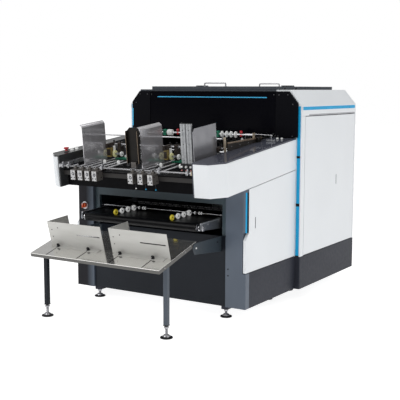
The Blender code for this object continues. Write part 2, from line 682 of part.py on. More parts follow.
def build_arms(feeder, mats):
    rear = BODY_DEPTH + ARM_REAR_OVER
    for name, side, inner in (("left_arm", -1, LEFT_ARM_INNER), ("right_arm", 1, RIGHT_ARM_INNER)):
        outer = BODY_HALF
        sheet = inner + ARM_SHEET
        corner_x, corner_v = outer - ARM_CHAMFER_X, ARM_FRONT + ARM_CHAMFER_V

        def cover(bm):
            outline = [(side * (sheet + GAP), ARM_FRONT), (side * corner_x, ARM_FRONT), (side * outer, corner_v),
                       (side * outer, rear), (side * (sheet + GAP), rear)]
            add_prism(bm, outline, "z", -ARM_DEEP, -ARM_SHEET - GAP)
        combine(solid(name + "_cover", cover, mats["white"], feeder), "DIFFERENCE", upright_end)

        def inner_plate(bm):
            x0, x1 = sorted((side * inner, side * sheet))
            add_box(bm, (x0, ARM_FRONT + ARM_LIP, -ARM_DEEP), (x1, rear, 0.0))
        frame = solid(name + "_frame", inner_plate, mats["slate"], feeder)

        def top(bm):
            front = ARM_FRONT + ARM_LIP
            outline = [(side * inner, front), (side * corner_x, front), (side * (outer - ARM_LIP), corner_v),
                       (side * (outer - ARM_LIP), rear), (side * inner, rear)]
            add_prism(bm, outline, "z", -ARM_SHEET, 0.0)
        combine(frame, "UNION", top)
        combine(frame, "DIFFERENCE", upright_end)


def build_bed(feeder, mats):
    x0, x1 = -LEFT_ARM_INNER + GAP, RIGHT_ARM_INNER - GAP
    rear = BODY_DEPTH / math.cos(FEEDER_TILT)
    bed = solid("feeder_bed", lambda bm: add_box(
        bm, (x0, BED_FRONT, -ARM_DEEP), (x1, rear, BED_TOP)), mats["black"], feeder)
    combine(bed, "UNION", lambda bm: add_box(
        bm, (x0, BED_FRONT - BEAM_DEEP, BEAM_TOP - BEAM_TALL), (x1, BED_FRONT + LAP, BEAM_TOP)))

    def ladder(bm):
        for v, w in ((FRONT_ROD_V, FRONT_ROD_W), (GUIDE_ROD_V, GUIDE_ROD_LOW), (GUIDE_ROD_V, GUIDE_ROD_HIGH)):
            add_round(bm, ((x0 + x1) / 2, v, w), "x", ROD, x1 - x0 - ROD_PLATE / 2, 12)
    rods = solid("guide_rods", ladder, mats["chrome"], feeder)

    def ends(bm):
        half = ROD_PLATE_HALF
        for a in (x0, x1 - ROD_PLATE):
            b = a + ROD_PLATE
            add_box(bm, (a, FRONT_ROD_V - half, FRONT_ROD_W - half),
                    (b, FRONT_ROD_V + 2 * half, ROD_FOOT_HIGH + SEAM))
            add_box(bm, (a, FRONT_ROD_V, ROD_FOOT_LOW), (b, GUIDE_ROD_V + half / 2, ROD_FOOT_HIGH))
            add_box(bm, (a, GUIDE_ROD_V - half, ROD_FOOT_LOW), (b, GUIDE_ROD_V + half, GUIDE_ROD_HIGH + half))
    combine(rods, "UNION", ends)


def feed_place(share):
    """The x place at a share of the feeder's width from the middle between its arms."""
    return FEED_MIDDLE + share * FEED_WIDE


def build_rails(feeder, mats):
    wide, long, tall = RAIL_BLOCK
    top = RAIL_BLOCK_TOP
    front = BED_FRONT - BEAM_DEEP - GAP
    for name, (first, pitch, count) in (("left_feed_rails", LEFT_RAILS), ("right_feed_rails", RIGHT_RAILS)):
        places = [feed_place(first + pitch * i) for i in range(count)]

        def bar(bm):
            add_box(bm, (places[0] - wide / 2, FRONT_ROD_V + RAIL_BAR, BEAM_TOP + GAP),
                    (places[-1] + wide / 2, BED_FRONT + 2 * LAP, BEAM_TOP + RAIL_BAR))
        rails = solid(name, bar, mats["alu"], feeder)

        def blocks(bm):
            for x in places:
                half = wide / 2
                add_box(bm, (x - half, front - long, top - tall), (x + half, front, top))
                add_box(bm, (x - half, front - LAP, BEAM_TOP + GAP), (x + half, BED_FRONT, top - SEAM))
                add_round(bm, (x, (front + RAIL_END) / 2, BEAM_TOP + LAP), "y", RAIL_ROD, RAIL_END - front, 12)
        combine(rails, "UNION", blocks)

        def wheels(bm):
            for x in (places[0], places[2]):
                add_round(bm, (x + WHEEL_STEP / 2, WHEEL_V, WHEEL_W), "x", WHEEL_AXLE, WHEEL_STEP + SEAM, 8)
                add_round(bm, (x + WHEEL_STEP, WHEEL_V, WHEEL_W), "x", WHEEL_R, WHEEL_WIDE, 20)
        combine(rails, "UNION", wheels)


def build_guides(feeder, mats):
    t = GUIDE_SHEET
    low, top = GUIDE_ROD_LOW - CLAMP_MARGIN, GUIDE_ROD_LOW + CLAMP_MARGIN
    rear = GUIDE_ROD_V + CLAMP_MARGIN
    for name, (share, v0, v1, high, flare) in STACK_GUIDES.items():
        x = feed_place(share)
        lip = high - GUIDE_LIP
        outline = [(x, GUIDE_LOW), (x, lip), (x - flare, high), (x - flare + t, high), (x + t, lip),
                   (x + t, GUIDE_LOW)]
        guide = solid(name, lambda bm: add_prism(bm, outline, "y", v0, v1), mats["alu"], feeder)
        combine(guide, "UNION", lambda bm: add_box(bm, (x + t / 4, v1 - LAP, low), (x + CLAMP_WIDE, rear, top)))

        def cuts(bm):
            middle = x + CLAMP_WIDE / 2
            add_round(bm, (middle, GUIDE_ROD_V, GUIDE_ROD_LOW), "x", ROD + GAP, 2 * CLAMP_WIDE, 12)
            if not flare:
                edge = v0 - LAP
                corner = [(edge, lip), (edge, high + LAP), (edge + GUIDE_LIP + LAP, high + LAP)]
                add_prism(bm, corner, "x", x - LAP, x + LAP)
        combine(guide, "DIFFERENCE", cuts)


def build_channel(feeder, mats):
    left, right = feed_place(CHANNEL_PLACES[0]), feed_place(CHANNEL_PLACES[1])
    (front, back), (low, high) = CHANNEL_V, CHANNEL_W
    t = GUIDE_SHEET
    outline = [(left, front), (left + t, front), (left + t, back - t), (right - t, back - t),
               (right - t, front), (right, front), (right, back), (left, back)]
    channel = solid("channel_guide", lambda bm: add_prism(bm, outline, "z", low, high), mats["lid"], feeder)

    def corners(bm):
        cut = CHANNEL_CORNER
        for x, way in ((left, 1), (right, -1)):
            edge = x - way * LAP
            section = [(edge, high - cut), (edge, high + LAP), (edge + way * (cut + LAP), high + LAP)]
            add_prism(bm, section, "y", front - LAP, back + LAP)
    combine(channel, "DIFFERENCE", corners)
    combine(channel, "UNION", lambda bm: add_box(
        bm, (left + CHANNEL_FOOT, front + t, BEAM_TOP + GAP), (right - CHANNEL_FOOT, back - t / 2, low + LAP)))


def build_posts(feeder, mats):
    front, back = POST_V
    low, high = POST_W
    a, b = feed_place(POST_BASE[0]), feed_place(POST_BASE[1])
    posts = solid("slotted_posts", lambda bm: add_box(
        bm, (a, front - LAP, BED_TOP + GAP), (b, back + 2 * LAP, low + LAP / 2)), mats["alu"], feeder)

    def uprights(bm):
        for x in map(feed_place, POST_PLACES):
            add_box(bm, (x - POST_HALF, front, low), (x + POST_HALF, back, high))
    combine(posts, "UNION", uprights)

    def grooves(bm):
        wide, deep = POST_GROOVE
        for x in map(feed_place, POST_PLACES):
            add_box(bm, (x - wide / 2, front - LAP, low + 2 * LAP), (x + wide / 2, front + deep, high + LAP))
    combine(posts, "DIFFERENCE", grooves)


def build_press_units(feeder, mats):
    """Rod-mounted units with a foot plate, a roller block and two wheels."""
    (front, back), (low, high) = UNIT_V, UNIT_W
    axle_v, axle_w = front - UNIT_WHEEL_V, UNIT_WHEEL_W
    inner_v, outer_v = front + LAP / 2, back - LAP
    for name, share in UNIT_PLACES.items():
        x = feed_place(share)
        unit = solid(name, lambda bm: add_box(
            bm, (x - UNIT_HALF, front, low), (x + UNIT_HALF, back, high)), mats["green"], feeder)

        def rest(bm):
            foot = low - ARM_LIP
            add_box(bm, (x + UNIT_FOOT[0], front - 2.5 * LAP, foot),
                    (x + UNIT_FOOT[1], outer_v + SEAM, foot + UNIT_FOOT_THICK))
            arm_end, arm_low, arm_top = UNIT_ARM
            add_box(bm, (x + arm_end, inner_v, arm_low), (x, outer_v, arm_top))
            left, right, block_low, block_top = UNIT_BLOCK
            add_box(bm, (x + left, front - 3 * LAP, block_low), (x + right, front + LAP, block_top))
            lug = UNIT_LUG
            add_box(bm, (x - lug, axle_v - lug, axle_w - lug), (x + lug, front + LAP, axle_w + lug))
            add_round(bm, (x + LAP, axle_v, axle_w), "x", WHEEL_AXLE, 8 * LAP, 8)
            add_round(bm, (x - UNIT_WHEEL_X, axle_v, axle_w), "x", UNIT_WHEEL_R, UNIT_WHEEL_WIDE, 20)
            add_round(bm, (x + UNIT_ROLL_X, axle_v, axle_w), "x", UNIT_ROLL_R, UNIT_ROLL_WIDE, 20)
        combine(unit, "UNION", rest)
        combine(unit, "DIFFERENCE", lambda bm: add_round(
            bm, (x, GUIDE_ROD_V, GUIDE_ROD_LOW), "x", ROD + GAP, 4 * UNIT_HALF, 12))


def build_nip_bar(feeder, mats):
    x0, x1 = -LEFT_ARM_INNER + GAP, RIGHT_ARM_INNER - GAP
    nip = solid("nip_bar", lambda bm: add_round(
        bm, ((x0 + x1) / 2, NIP_V, NIP_W), "x", NIP_ROD, x1 - x0 - ROD_PLATE / 2, 12), mats["chrome"], feeder)

    def rollers(bm):
        for a in (x0, x1 - ROD_PLATE):
            add_box(bm, (a, NIP_V - ROD_PLATE_HALF, ROD_FOOT_HIGH),
                    (a + ROD_PLATE, NIP_V + ROD_PLATE_HALF, NIP_W + 2.5 * NIP_ROD))
        half_x, half_v, half_w = NIP_BLOCK
        for share, first, pitch, count, knob in NIP_GROUPS:
            x = feed_place(share)
            add_box(bm, (x - half_x, NIP_V - half_v, NIP_W - half_w), (x + half_x, NIP_V + half_v, NIP_W + half_w))
            for i in range(count):
                place = (x + first + pitch * i, NIP_V, NIP_W)
                add_round(bm, place, "x", NIP_DISC_R, NIP_DISC_WIDE, 20)
            add_round(bm, (x + knob, NIP_V, NIP_W + NIP_KNOB_LIFT), "z", NIP_KNOB_R, NIP_KNOB_TALL, 16)
    combine(nip, "UNION", rollers)


def build_conveyor(root, mats):
    deck = datum("conveyor_datum", (0.0, ROLLER_Y, ROLLER_Z), CONVEYOR_TILT, root)
    core = BELT_R - BELT_SHEET - GAP

    def loop_outline(radius, sides=12):
        points = []
        for centre, start in ((0.0, math.pi / 2), (CONVEYOR_LONG, -math.pi / 2)):
            for i in range(sides + 1):
                a = start + math.pi * i / sides
                points.append((centre + radius * math.cos(a), radius * math.sin(a)))
        return points
    belt = solid("conveyor_belt", lambda bm: add_prism(bm, loop_outline(BELT_R), "x", -BELT_HALF, BELT_HALF),
                 mats["rubber"], deck)
    combine(belt, "DIFFERENCE", lambda bm: add_prism(
        bm, loop_outline(BELT_R - BELT_SHEET), "x", -BELT_HALF - LAP, BELT_HALF + LAP))

    frame = solid("conveyor_frame", lambda bm: add_round(
        bm, (0.0, 0.0, 0.0), "x", core, 2 * BELT_HALF), mats["steel"], deck)

    def rest(bm):
        bearing = CHEEK_X + CHEEK + SILL
        wall = WALL_OUTER - WALL_THICK - GAP
        add_round(bm, (0.0, CONVEYOR_LONG, 0.0), "x", core, 2 * BELT_HALF)
        add_round(bm, (0.0, 0.0, 0.0), "x", SHAFT_R, 2 * bearing, 12)
        add_round(bm, (0.0, CONVEYOR_LONG, 0.0), "x", SHAFT_R, 2 * wall, 12)
        add_round(bm, (0.0, CONVEYOR_LONG * 0.55, 0.0), "x", SHAFT_R, 2 * wall, 12)
        add_box(bm, (-CHEEK_X - CHEEK / 2, BELT_BED_END, 0.0),
                (CHEEK_X + CHEEK / 2, CONVEYOR_LONG - BELT_BED_END, core))
        for side in (-1, 1):
            x0, x1 = sorted((side * CHEEK_X, side * (CHEEK_X + CHEEK)))
            add_prism(bm, CHEEK_OUTLINE, "x", x0, x1)
    combine(frame, "UNION", rest)


def belt_top(y):
    return ROLLER_Z + BELT_R / math.cos(CONVEYOR_TILT) + (y - ROLLER_Y) * math.tan(CONVEYOR_TILT)


def build_press_bar(root, mats):
    rod_z = belt_top(PRESS_ROD_Y) + PRESS_ROD_LIFT
    inner = WALL_OUTER - WALL_THICK - GAP
    bar = solid("press_bar", lambda bm: add_round(
        bm, (0.0, PRESS_ROD_Y, rod_z), "x", PRESS_ROD_R, 2 * inner, 12), mats["chrome"], root)

    def rails(bm):
        last = PRESS_ROD_Y - PRESS_WHEEL_R / 2
        first = last - PRESS_PITCH * (PRESS_WHEELS - 1)
        end = last + 1.5 * PRESS_WHEEL_R
        half, below, above = PRESS_RAIL
        left, right, deep, under = PRESS_BLOCK
        for side in (-1, 1):
            x = side * PRESS_RAIL_X
            outline = []
            for y, lift in ((first, below), (end, below), (end, above), (first, above)):
                outline.append((y, belt_top(y) + PRESS_WHEEL_R + lift))
            add_prism(bm, outline, "x", x - half, x + half)
            for i in range(PRESS_WHEELS):
                y = first + PRESS_PITCH * i
                z = belt_top(y) + PRESS_WHEEL_R / math.cos(CONVEYOR_TILT) + GAP
                add_round(bm, (x + PRESS_WHEEL_X, y, z), "x", PRESS_WHEEL_R, PRESS_WHEEL_WIDE, 20)
            add_box(bm, (x + left, PRESS_ROD_Y - deep, rod_z + under),
                    (x + right, PRESS_ROD_Y + deep, rod_z + deep))
    combine(bar, "UNION", rails)
    half = STRIPPER_TALL / 2
    solid("stripper_bar", lambda bm: add_box(
        bm, (STRIPPER_X, STRIPPER_Y, STRIPPER_Z - half), (inner, STRIPPER_Y + STRIPPER_SHEET, STRIPPER_Z + half)),
        mats["steel"], root)


def build_table(root, mats):
    top = datum("table_datum", (0.0, TABLE_FRONT_Y, TABLE_FRONT_Z), TABLE_TILT, root)
    pan = solid("output_table", lambda bm: add_box(
        bm, (-TABLE_HALF, 0.0, -TABLE_FLANGE), (TABLE_HALF, TABLE_LONG, 0.0)), mats["steel"], top)

    def hollow(bm):
        t = TABLE_SHEET
        add_box(bm, (-TABLE_HALF + t, t, -TABLE_FLANGE - LAP), (TABLE_HALF - t, TABLE_LONG - t, -t))
        for tray in (-TRAY_X, TRAY_X):
            for side in (-1, 1):
                x = tray + side * TRAY_SLOT_X
                add_box(bm, (x - SLOT_WIDE / 2, SLOT_FRONT, -LAP), (x + SLOT_WIDE / 2, SLOT_REAR, LAP))
    combine(pan, "DIFFERENCE", hollow)

    for name, middle in (("left_tray", -TRAY_X), ("right_tray", TRAY_X)):
        t = TRAY_SHEET
        x0, x1 = middle + TRAY_SHIFT - TRAY_HALF, middle + TRAY_SHIFT + TRAY_HALF
        tray = solid(name, lambda bm: add_box(
            bm, (x0, TRAY_STAND, GAP), (x1, TRAY_STAND + t, TRAY_TALL)), mats["steel"], top)

        def more(bm):
            inset, back = TRAY_FOOT_INSET, TRAY_STAND + TRAY_SIDE
            add_box(bm, (x0 + inset, TRAY_STAND - TRAY_FOOT, GAP), (x1 - inset, TRAY_STAND + t / 2, GAP + t))
            outline = [(TRAY_STAND + t / 2, GAP), (back, GAP), (back, TRAY_REAR_TALL),
                       (TRAY_STAND + t / 2, TRAY_TALL)]
            add_prism(bm, outline, "x", x0, x0 + t)
            for side in (-1, 1):
                x = middle + side * TRAY_SLOT_X
                s = TRAY_STAND - KNOB_SET
                add_round(bm, (x, s, GAP + t + KNOB_TALL / 2), "z", KNOB_R, KNOB_TALL, 16)
                add_round(bm, (x, s, 0.0), "z", STUD_R, STUD_LONG, 12)
                add_round(bm, (x, s, -STUD_LONG / 3), "z", STUD_R * 2.4, SILL, 6)
        combine(tray, "UNION", more)
        combine(tray, "DIFFERENCE", lambda bm: add_box(
            bm, (middle + TRAY_SHIFT + LAP, TRAY_STAND - LAP, WINDOW_LOW), (x1 - WINDOW_EDGE, TRAY_STAND + LAP, WINDOW_HIGH)))

    build_table_legs(root, mats)
    build_table_brackets(root, mats)


def under_sheet(y):
    """World height under the table's top sheet at a world distance y."""
    return TABLE_FRONT_Z + (y - TABLE_FRONT_Y) * math.tan(TABLE_TILT) - TABLE_SHEET / math.cos(TABLE_TILT)


def build_table_legs(root, mats):
    h = LEG_WIDE / 2
    for name, side in (("left_table_leg", -1), ("right_table_leg", 1)):
        x = side * LEG_X

        def tube(bm):
            outline = [(LEG_Y - h, LEG_FOOT_Z), (LEG_Y + h, LEG_FOOT_Z),
                       (LEG_Y + h, under_sheet(LEG_Y + h) - GAP), (LEG_Y - h, under_sheet(LEG_Y - h) - GAP)]
            add_prism(bm, outline, "x", x - h, x + h)
        leg = solid(name, tube, mats["grey"], root)
        combine(leg, "UNION", lambda bm: levelling_foot(bm, x, LEG_Y, LEG_FOOT_Z + LAP))


def build_table_brackets(root, mats):
    rear = FRONT_PANEL_SET - GAP
    top = MOUTH_FLOOR - SILL
    nose = BRACKET_FRONT + BRACKET_NOSE
    for name, side in (("left_table_bracket", -1), ("right_table_bracket", 1)):
        x0, x1 = sorted((side * (TABLE_HALF + GAP), side * (TABLE_HALF + GAP + BRACKET_THICK)))

        def plate(bm):
            back = rear - SEAM / 3
            high, low = BRACKET_CORNER
            outline = [(BRACKET_FRONT, top - low), (BRACKET_FRONT, top - high), (nose, top), (back, top),
                       (back, top - BRACKET_DEEP - LAP), (nose, top - BRACKET_DEEP + BRACKET_NOSE)]
            add_prism(bm, outline, "x", x0, x1)
        bracket = solid(name, plate, mats["slate"], root)
        a, b = sorted((side * (TABLE_HALF - BRACKET_TAB), side * (TABLE_HALF + BRACKET_THICK / 2)))
        combine(bracket, "UNION", lambda bm: add_box(
            bm, (a, rear - BRACKET_THICK, top - BRACKET_DEEP), (b, rear, top - SILL)))


def build_controls(root, feeder, mats):
    plate = ISOLATOR_PLATE
    solid("isolator_plate", lambda bm: add_round(
        bm, (ISOLATOR_X, -plate / 2 - GAP, ISOLATOR_Z), "y", ISOLATOR_R, plate), mats["steel"], root)
    turn = datum("isolator_axis", (ISOLATOR_X, -plate - 2 * GAP, ISOLATOR_Z), parent=root)
    knob = solid("isolator_knob", lambda bm: add_round(
        bm, (0.0, -DIAL_DEEP / 2, 0.0), "y", DIAL_R, DIAL_DEEP, 20), mats["red"], turn)
    blade = DIAL_R - SEAM / 3
    combine(knob, "UNION", lambda bm: add_box(
        bm, (-DIAL_BLADE, -DIAL_DEEP - DIAL_BLADE_OUT, -blade), (DIAL_BLADE, DIAL_BLADE_IN - DIAL_DEEP, blade)))

    stem = STOP_R
    button = solid("stop_button", lambda bm: add_round(bm, (0.0, 0.0, stem / 2), "z", STOP_R * 0.55, stem, 16),
                   mats["red"], feeder, (STOP_X, STOP_V, GAP))
    combine(button, "UNION", lambda bm: add_round(bm, (0.0, 0.0, stem * 1.2), "z", STOP_R, stem * 0.6, 20))


def build_machine():
    clear_scene()
    mats = make_finishes()
    root = datum("machine_datum", (0.0, -MID_Y, 0.0))
    feeder = datum("feeder_datum", (0.0, 0.0, FEEDER_Z), FEEDER_TILT, root)
    build_base(root, mats)
    build_columns(root, mats)
    build_front(root, mats)
    build_inner_body(root, mats)
    build_body_doors(root, mats)
    build_cabinet(root, mats)
    build_lids(root, mats)
    build_hood(root, mats)
    build_arms(feeder, mats)
    build_bed(feeder, mats)
    build_rails(feeder, mats)
    build_guides(feeder, mats)
    build_channel(feeder, mats)
    build_posts(feeder, mats)
    build_press_units(feeder, mats)
    build_nip_bar(feeder, mats)
    build_conveyor(root, mats)
    build_press_bar(root, mats)
    build_table(root, mats)
    build_controls(root, feeder, mats)


build_machine()
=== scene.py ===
import math

import bmesh
import bpy
from mathutils import Matrix, Vector


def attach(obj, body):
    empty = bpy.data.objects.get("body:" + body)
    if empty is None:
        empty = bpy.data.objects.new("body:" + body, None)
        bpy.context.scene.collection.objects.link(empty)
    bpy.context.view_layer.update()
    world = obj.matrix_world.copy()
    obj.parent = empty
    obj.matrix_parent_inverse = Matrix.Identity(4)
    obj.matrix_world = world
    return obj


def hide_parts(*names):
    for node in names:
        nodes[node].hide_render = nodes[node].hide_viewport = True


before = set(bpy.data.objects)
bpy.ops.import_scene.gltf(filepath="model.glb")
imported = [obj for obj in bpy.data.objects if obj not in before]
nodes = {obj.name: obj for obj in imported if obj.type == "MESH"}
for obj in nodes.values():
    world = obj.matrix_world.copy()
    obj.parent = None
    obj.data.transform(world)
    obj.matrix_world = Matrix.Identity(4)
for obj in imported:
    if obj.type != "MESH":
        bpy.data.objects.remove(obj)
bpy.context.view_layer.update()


def pick(look, names):
    return [look[name] for name in names.split()]


def addObject(name, data):
    obj = bpy.data.objects.new(name, data)
    bpy.context.scene.collection.objects.link(obj)
    return obj


def tiltedFrame(y, z, tilt=0.0):
    return Matrix.Translation((0.0, y, z)) @ Matrix.Rotation(tilt, 4, "X")


# where each group's own measures start: the machine's front plane, and the tilted feeder, table and belt
tableTilt, beltTilt = math.radians(15.6), math.radians(1.5)
machineFrame = tiltedFrame(-0.520, 0.0)
feederFrame = tiltedFrame(-0.520, 1.1245, math.radians(6.0))
tableFrame = tiltedFrame(-1.245, 0.458, tableTilt)
beltFrame = tiltedFrame(-0.708, 0.6435, beltTilt)

# finishes

finishes = {}


def addNode(tree, kind, values={}, links={}):
    # a shader node with its own numbers and the sockets that feed it
    node = tree.nodes.new("ShaderNode" + kind)
    for key, value in values.items():
        node.inputs[key].default_value = value
    for key, socket in links.items():
        tree.links.new(socket, node.inputs[key])
    return node


def setRamp(node, *stops):
    for element, (position, color) in zip(node.color_ramp.elements, stops):
        element.position = position
        element.color = (*color, 1.0)


def makeFinish(name, color, other=None, grain=6, stretch=(1, 1, 1), rough=(0.4, 0.5), roughGrain=40,
               bump=0.05, bumpGrain=700, metal=0.0, coat=0.0, glow=0.0, specular=0.5):
    # two tones of one colour, uneven gloss and a fine grain, all from noise on the piece itself
    mat = bpy.data.materials.new(name)
    mat.use_nodes = True
    tree = mat.node_tree
    shader = tree.nodes["Principled BSDF"]
    shader.inputs["Metallic"].default_value = metal
    shader.inputs["Specular IOR Level"].default_value = specular
    if coat:
        shader.inputs["Coat Weight"].default_value = coat
        shader.inputs["Coat Roughness"].default_value = 0.06
    other = other or tuple(min(1.0, c * 0.86) for c in color)
    place = addNode(tree, "TexCoord").outputs["Object"]
    stretched = addNode(tree, "Mapping", {"Scale": stretch}, {"Vector": place}).outputs["Vector"]

    def noise(scale, detail):
        return addNode(tree, "TexNoise", {"Scale": scale, "Detail": detail}, {"Vector": stretched}).outputs["Fac"]

    ramp = addNode(tree, "ValToRGB", {}, {"Fac": noise(grain, 5.0)})
    setRamp(ramp, (0.3, other), (0.7, color))
    tree.links.new(ramp.outputs["Color"], shader.inputs["Base Color"])
    if glow:
        tree.links.new(ramp.outputs["Color"], shader.inputs["Emission Color"])
        shader.inputs["Emission Strength"].default_value = glow
    spread = addNode(tree, "MapRange", {"From Min": 0.3, "From Max": 0.7, "To Min": rough[0], "To Max": rough[1]},
                     {"Value": noise(roughGrain, 3.0)})
    tree.links.new(spread.outputs["Result"], shader.inputs["Roughness"])
    relief = addNode(tree, "Bump", {"Strength": bump, "Distance": 0.001}, {"Height": noise(bumpGrain, 2.0)})
    tree.links.new(relief.outputs["Normal"], shader.inputs["Normal"])
    finishes[name] = mat
    return mat


# what finishes of one kind share
paint = {"grain": 3, "rough": (0.34, 0.44), "bump": 0.08}
mattBlack = {"rough": (0.45, 0.60), "bump": 0.06}
rolledSteel = {"grain": 3, "stretch": (1, 6, 6), "roughGrain": 5, "bump": 0.01, "bumpGrain": 160}
bentSheet = {"stretch": (4, 1, 1), "roughGrain": 12, "bumpGrain": 120}
roundBar = {"grain": 20, "bump": 0.02}
smallScrew = {"grain": 30, "rough": (0.34, 0.46), "specular": 0.3}
anodised = {"grain": 12, "rough": (0.30, 0.42)}
tyre = {"grain": 20, "rough": (0.36, 0.46)}
nylon = {"grain": 18, "rough": (0.34, 0.44)}
pressed = {"grain": 10, "rough": (0.36, 0.46), "bump": 0.04}

makeFinish("whitePowder", (0.8, 0.825, 0.85), (0.775, 0.8, 0.825), grain=2.5, rough=(0.34, 0.42), bump=0.1)
# the dark slate paint, darkened further as painted shadow from the table
makeFinish("slatePaintAndShade", (0.009, 0.012, 0.018), **paint, specular=0.18)
makeFinish("columnPaint", (0.11, 0.134, 0.172), **paint, specular=0.3)
makeFinish("legPaint", (0.075, 0.092, 0.118), **paint, specular=0.3)
makeFinish("bracketPaint", (0.036, 0.048, 0.06), **paint, specular=0.3)
# a grey for the dark beam's front: painted highlight
makeFinish("beamPaintedHighlight", (0.034, 0.032, 0.031), grain=5, bump=0.06, specular=0.2)
makeFinish("lintelPaint", (0.062, 0.09, 0.108), **paint, specular=0.3)
makeFinish("skirtPaint", (0.033, 0.036, 0.048), grain=3, bump=0.1, specular=0.12)
# near-black parts darkened almost to no colour: their own black and painted deep shade
makeFinish("innerBlackAndShade", (0.006, 0.007, 0.009), grain=4, **mattBlack, specular=0.15)
makeFinish("bedBlackAndShade", (0.004, 0.004, 0.005), (0.003, 0.003, 0.004), grain=5, **mattBlack, specular=0.06)
makeFinish("hoodBlack", (0.003, 0.003, 0.005), grain=4, rough=(0.3, 0.4), bump=0.02, specular=0.06)
makeFinish("smokedGlass", (0.002, 0.002, 0.004), grain=1.5, rough=(0.1, 0.16), bump=0.01, specular=0.05)
makeFinish("lidPaint", (0.052, 0.06, 0.074), grain=3, rough=(0.38, 0.48), bump=0.1, specular=0.3)
makeFinish("armTopPaint", (0.066, 0.07, 0.092), grain=3, rough=(0.09, 0.13), bump=0.01, specular=0.25)
# the left arm's top: a darker, duller copy of the arm-top paint, painted shade
makeFinish("shadedArmTop", (0.04, 0.042, 0.044), grain=3, rough=(0.12, 0.16), bump=0.01, specular=0.4)
makeFinish("lightBlue", (0.008, 0.325, 0.61), (0.006, 0.29, 0.55), grain=9, rough=(0.26, 0.34), glow=0.13,
           specular=0.25)
makeFinish("skyBlue", (0.045, 0.43, 0.74), (0.038, 0.39, 0.68), grain=9, rough=(0.22, 0.3), glow=0.12)
makeFinish("stainless", (0.9, 0.89, 0.865), (0.86, 0.85, 0.825), **rolledSteel, rough=(0.13, 0.18), metal=0.93)
makeFinish("traySteel", (0.57, 0.565, 0.54), (0.5, 0.495, 0.47), **rolledSteel, rough=(0.32, 0.38),
           metal=0.25, specular=0.3)
# the table's folded lip and side flanges: a dark copy of its stainless, painted shade
makeFinish("shadedLipSteel", (0.11, 0.108, 0.102), (0.09, 0.088, 0.083), rough=(0.3, 0.4), metal=0.4)
makeFinish("edgeSteel", (0.26, 0.27, 0.29), (0.2, 0.21, 0.23), grain=12, stretch=(1, 10, 10),
           rough=(0.28, 0.4), metal=0.9)
makeFinish("shaftChrome", (0.5, 0.5, 0.51), (0.4, 0.4, 0.42), **roundBar, rough=(0.1, 0.18), metal=1.0)
makeFinish("brightRod", (0.76, 0.76, 0.78), (0.68, 0.68, 0.7), **roundBar, rough=(0.16, 0.24), metal=0.45)
makeFinish("dullRod", (0.3, 0.3, 0.31), (0.22, 0.22, 0.23), **roundBar, rough=(0.18, 0.28), metal=0.9)
makeFinish("satinAlu", (0.56, 0.57, 0.59), (0.5, 0.51, 0.54), grain=10, stretch=(4, 1, 1), rough=(0.26, 0.36),
           roughGrain=30, bump=0.03, bumpGrain=220, metal=0.85)
makeFinish("guideSheetMetal", (0.6, 0.59, 0.61), (0.55, 0.54, 0.56), **bentSheet, rough=(0.1, 0.16),
           bump=0.01, metal=0.66)
makeFinish("rightGuideMetal", (0.29, 0.29, 0.31), (0.25, 0.25, 0.27), **bentSheet, grain=14,
           rough=(0.16, 0.26), bump=0.02, metal=0.55)
makeFinish("postGrey", (0.4, 0.41, 0.42), (0.26, 0.27, 0.28), grain=55, rough=(0.32, 0.44), bump=0.04, metal=0.4)
makeFinish("blockGrey", (0.155, 0.145, 0.135), (0.115, 0.105, 0.098), **anodised, bump=0.06, metal=0.5)
makeFinish("brightFace", (0.54, 0.54, 0.54), (0.38, 0.38, 0.39), grain=60, rough=(0.24, 0.36), metal=0.6)
makeFinish("nickel", (0.48, 0.48, 0.5), (0.36, 0.36, 0.38), grain=30, rough=(0.2, 0.34), metal=1.0)
makeFinish("blackOxide", (0.014, 0.014, 0.016), **smallScrew, metal=0.3)
makeFinish("dimScrew", (0.11, 0.11, 0.118), (0.08, 0.08, 0.086), **smallScrew, metal=0.5)
makeFinish("bronzeAnodised", (0.042, 0.034, 0.028), (0.032, 0.026, 0.022), **anodised, metal=0.4)
makeFinish("bronzeEdge", (0.34, 0.26, 0.19), (0.26, 0.2, 0.14), **anodised, metal=0.6)
makeFinish("creamPlate", (0.52, 0.44, 0.33), (0.42, 0.35, 0.26), **anodised, metal=0.4)
makeFinish("unitBrown", (0.06, 0.046, 0.038), (0.04, 0.031, 0.026), grain=18, rough=(0.32, 0.44), metal=0.4)
makeFinish("beltRubber", (0.004, 0.004, 0.005), (0.006, 0.006, 0.007), grain=24, rough=(0.3, 0.42),
           roughGrain=60, bump=0.1, bumpGrain=420, specular=0.16)
# the tyres and bright nylon wheels glow with painted light, though none is a lamp
makeFinish("yellowTyrePaintedGlow", (0.8, 0.66, 0.06), (0.68, 0.55, 0.045), **tyre, glow=0.18)
makeFinish("creamTyrePaintedGlow", (0.86, 0.84, 0.46), (0.76, 0.74, 0.38), **tyre, glow=0.1)
makeFinish("nylonPaintedGlow", (0.88, 0.89, 0.88), (0.8, 0.81, 0.8), **nylon, glow=0.3)
makeFinish("amberBlock", (0.34, 0.25, 0.07), (0.22, 0.16, 0.045), grain=18, rough=(0.32, 0.42))
makeFinish("greenCast", (0.012, 0.21, 0.12), (0.008, 0.15, 0.085), **nylon)
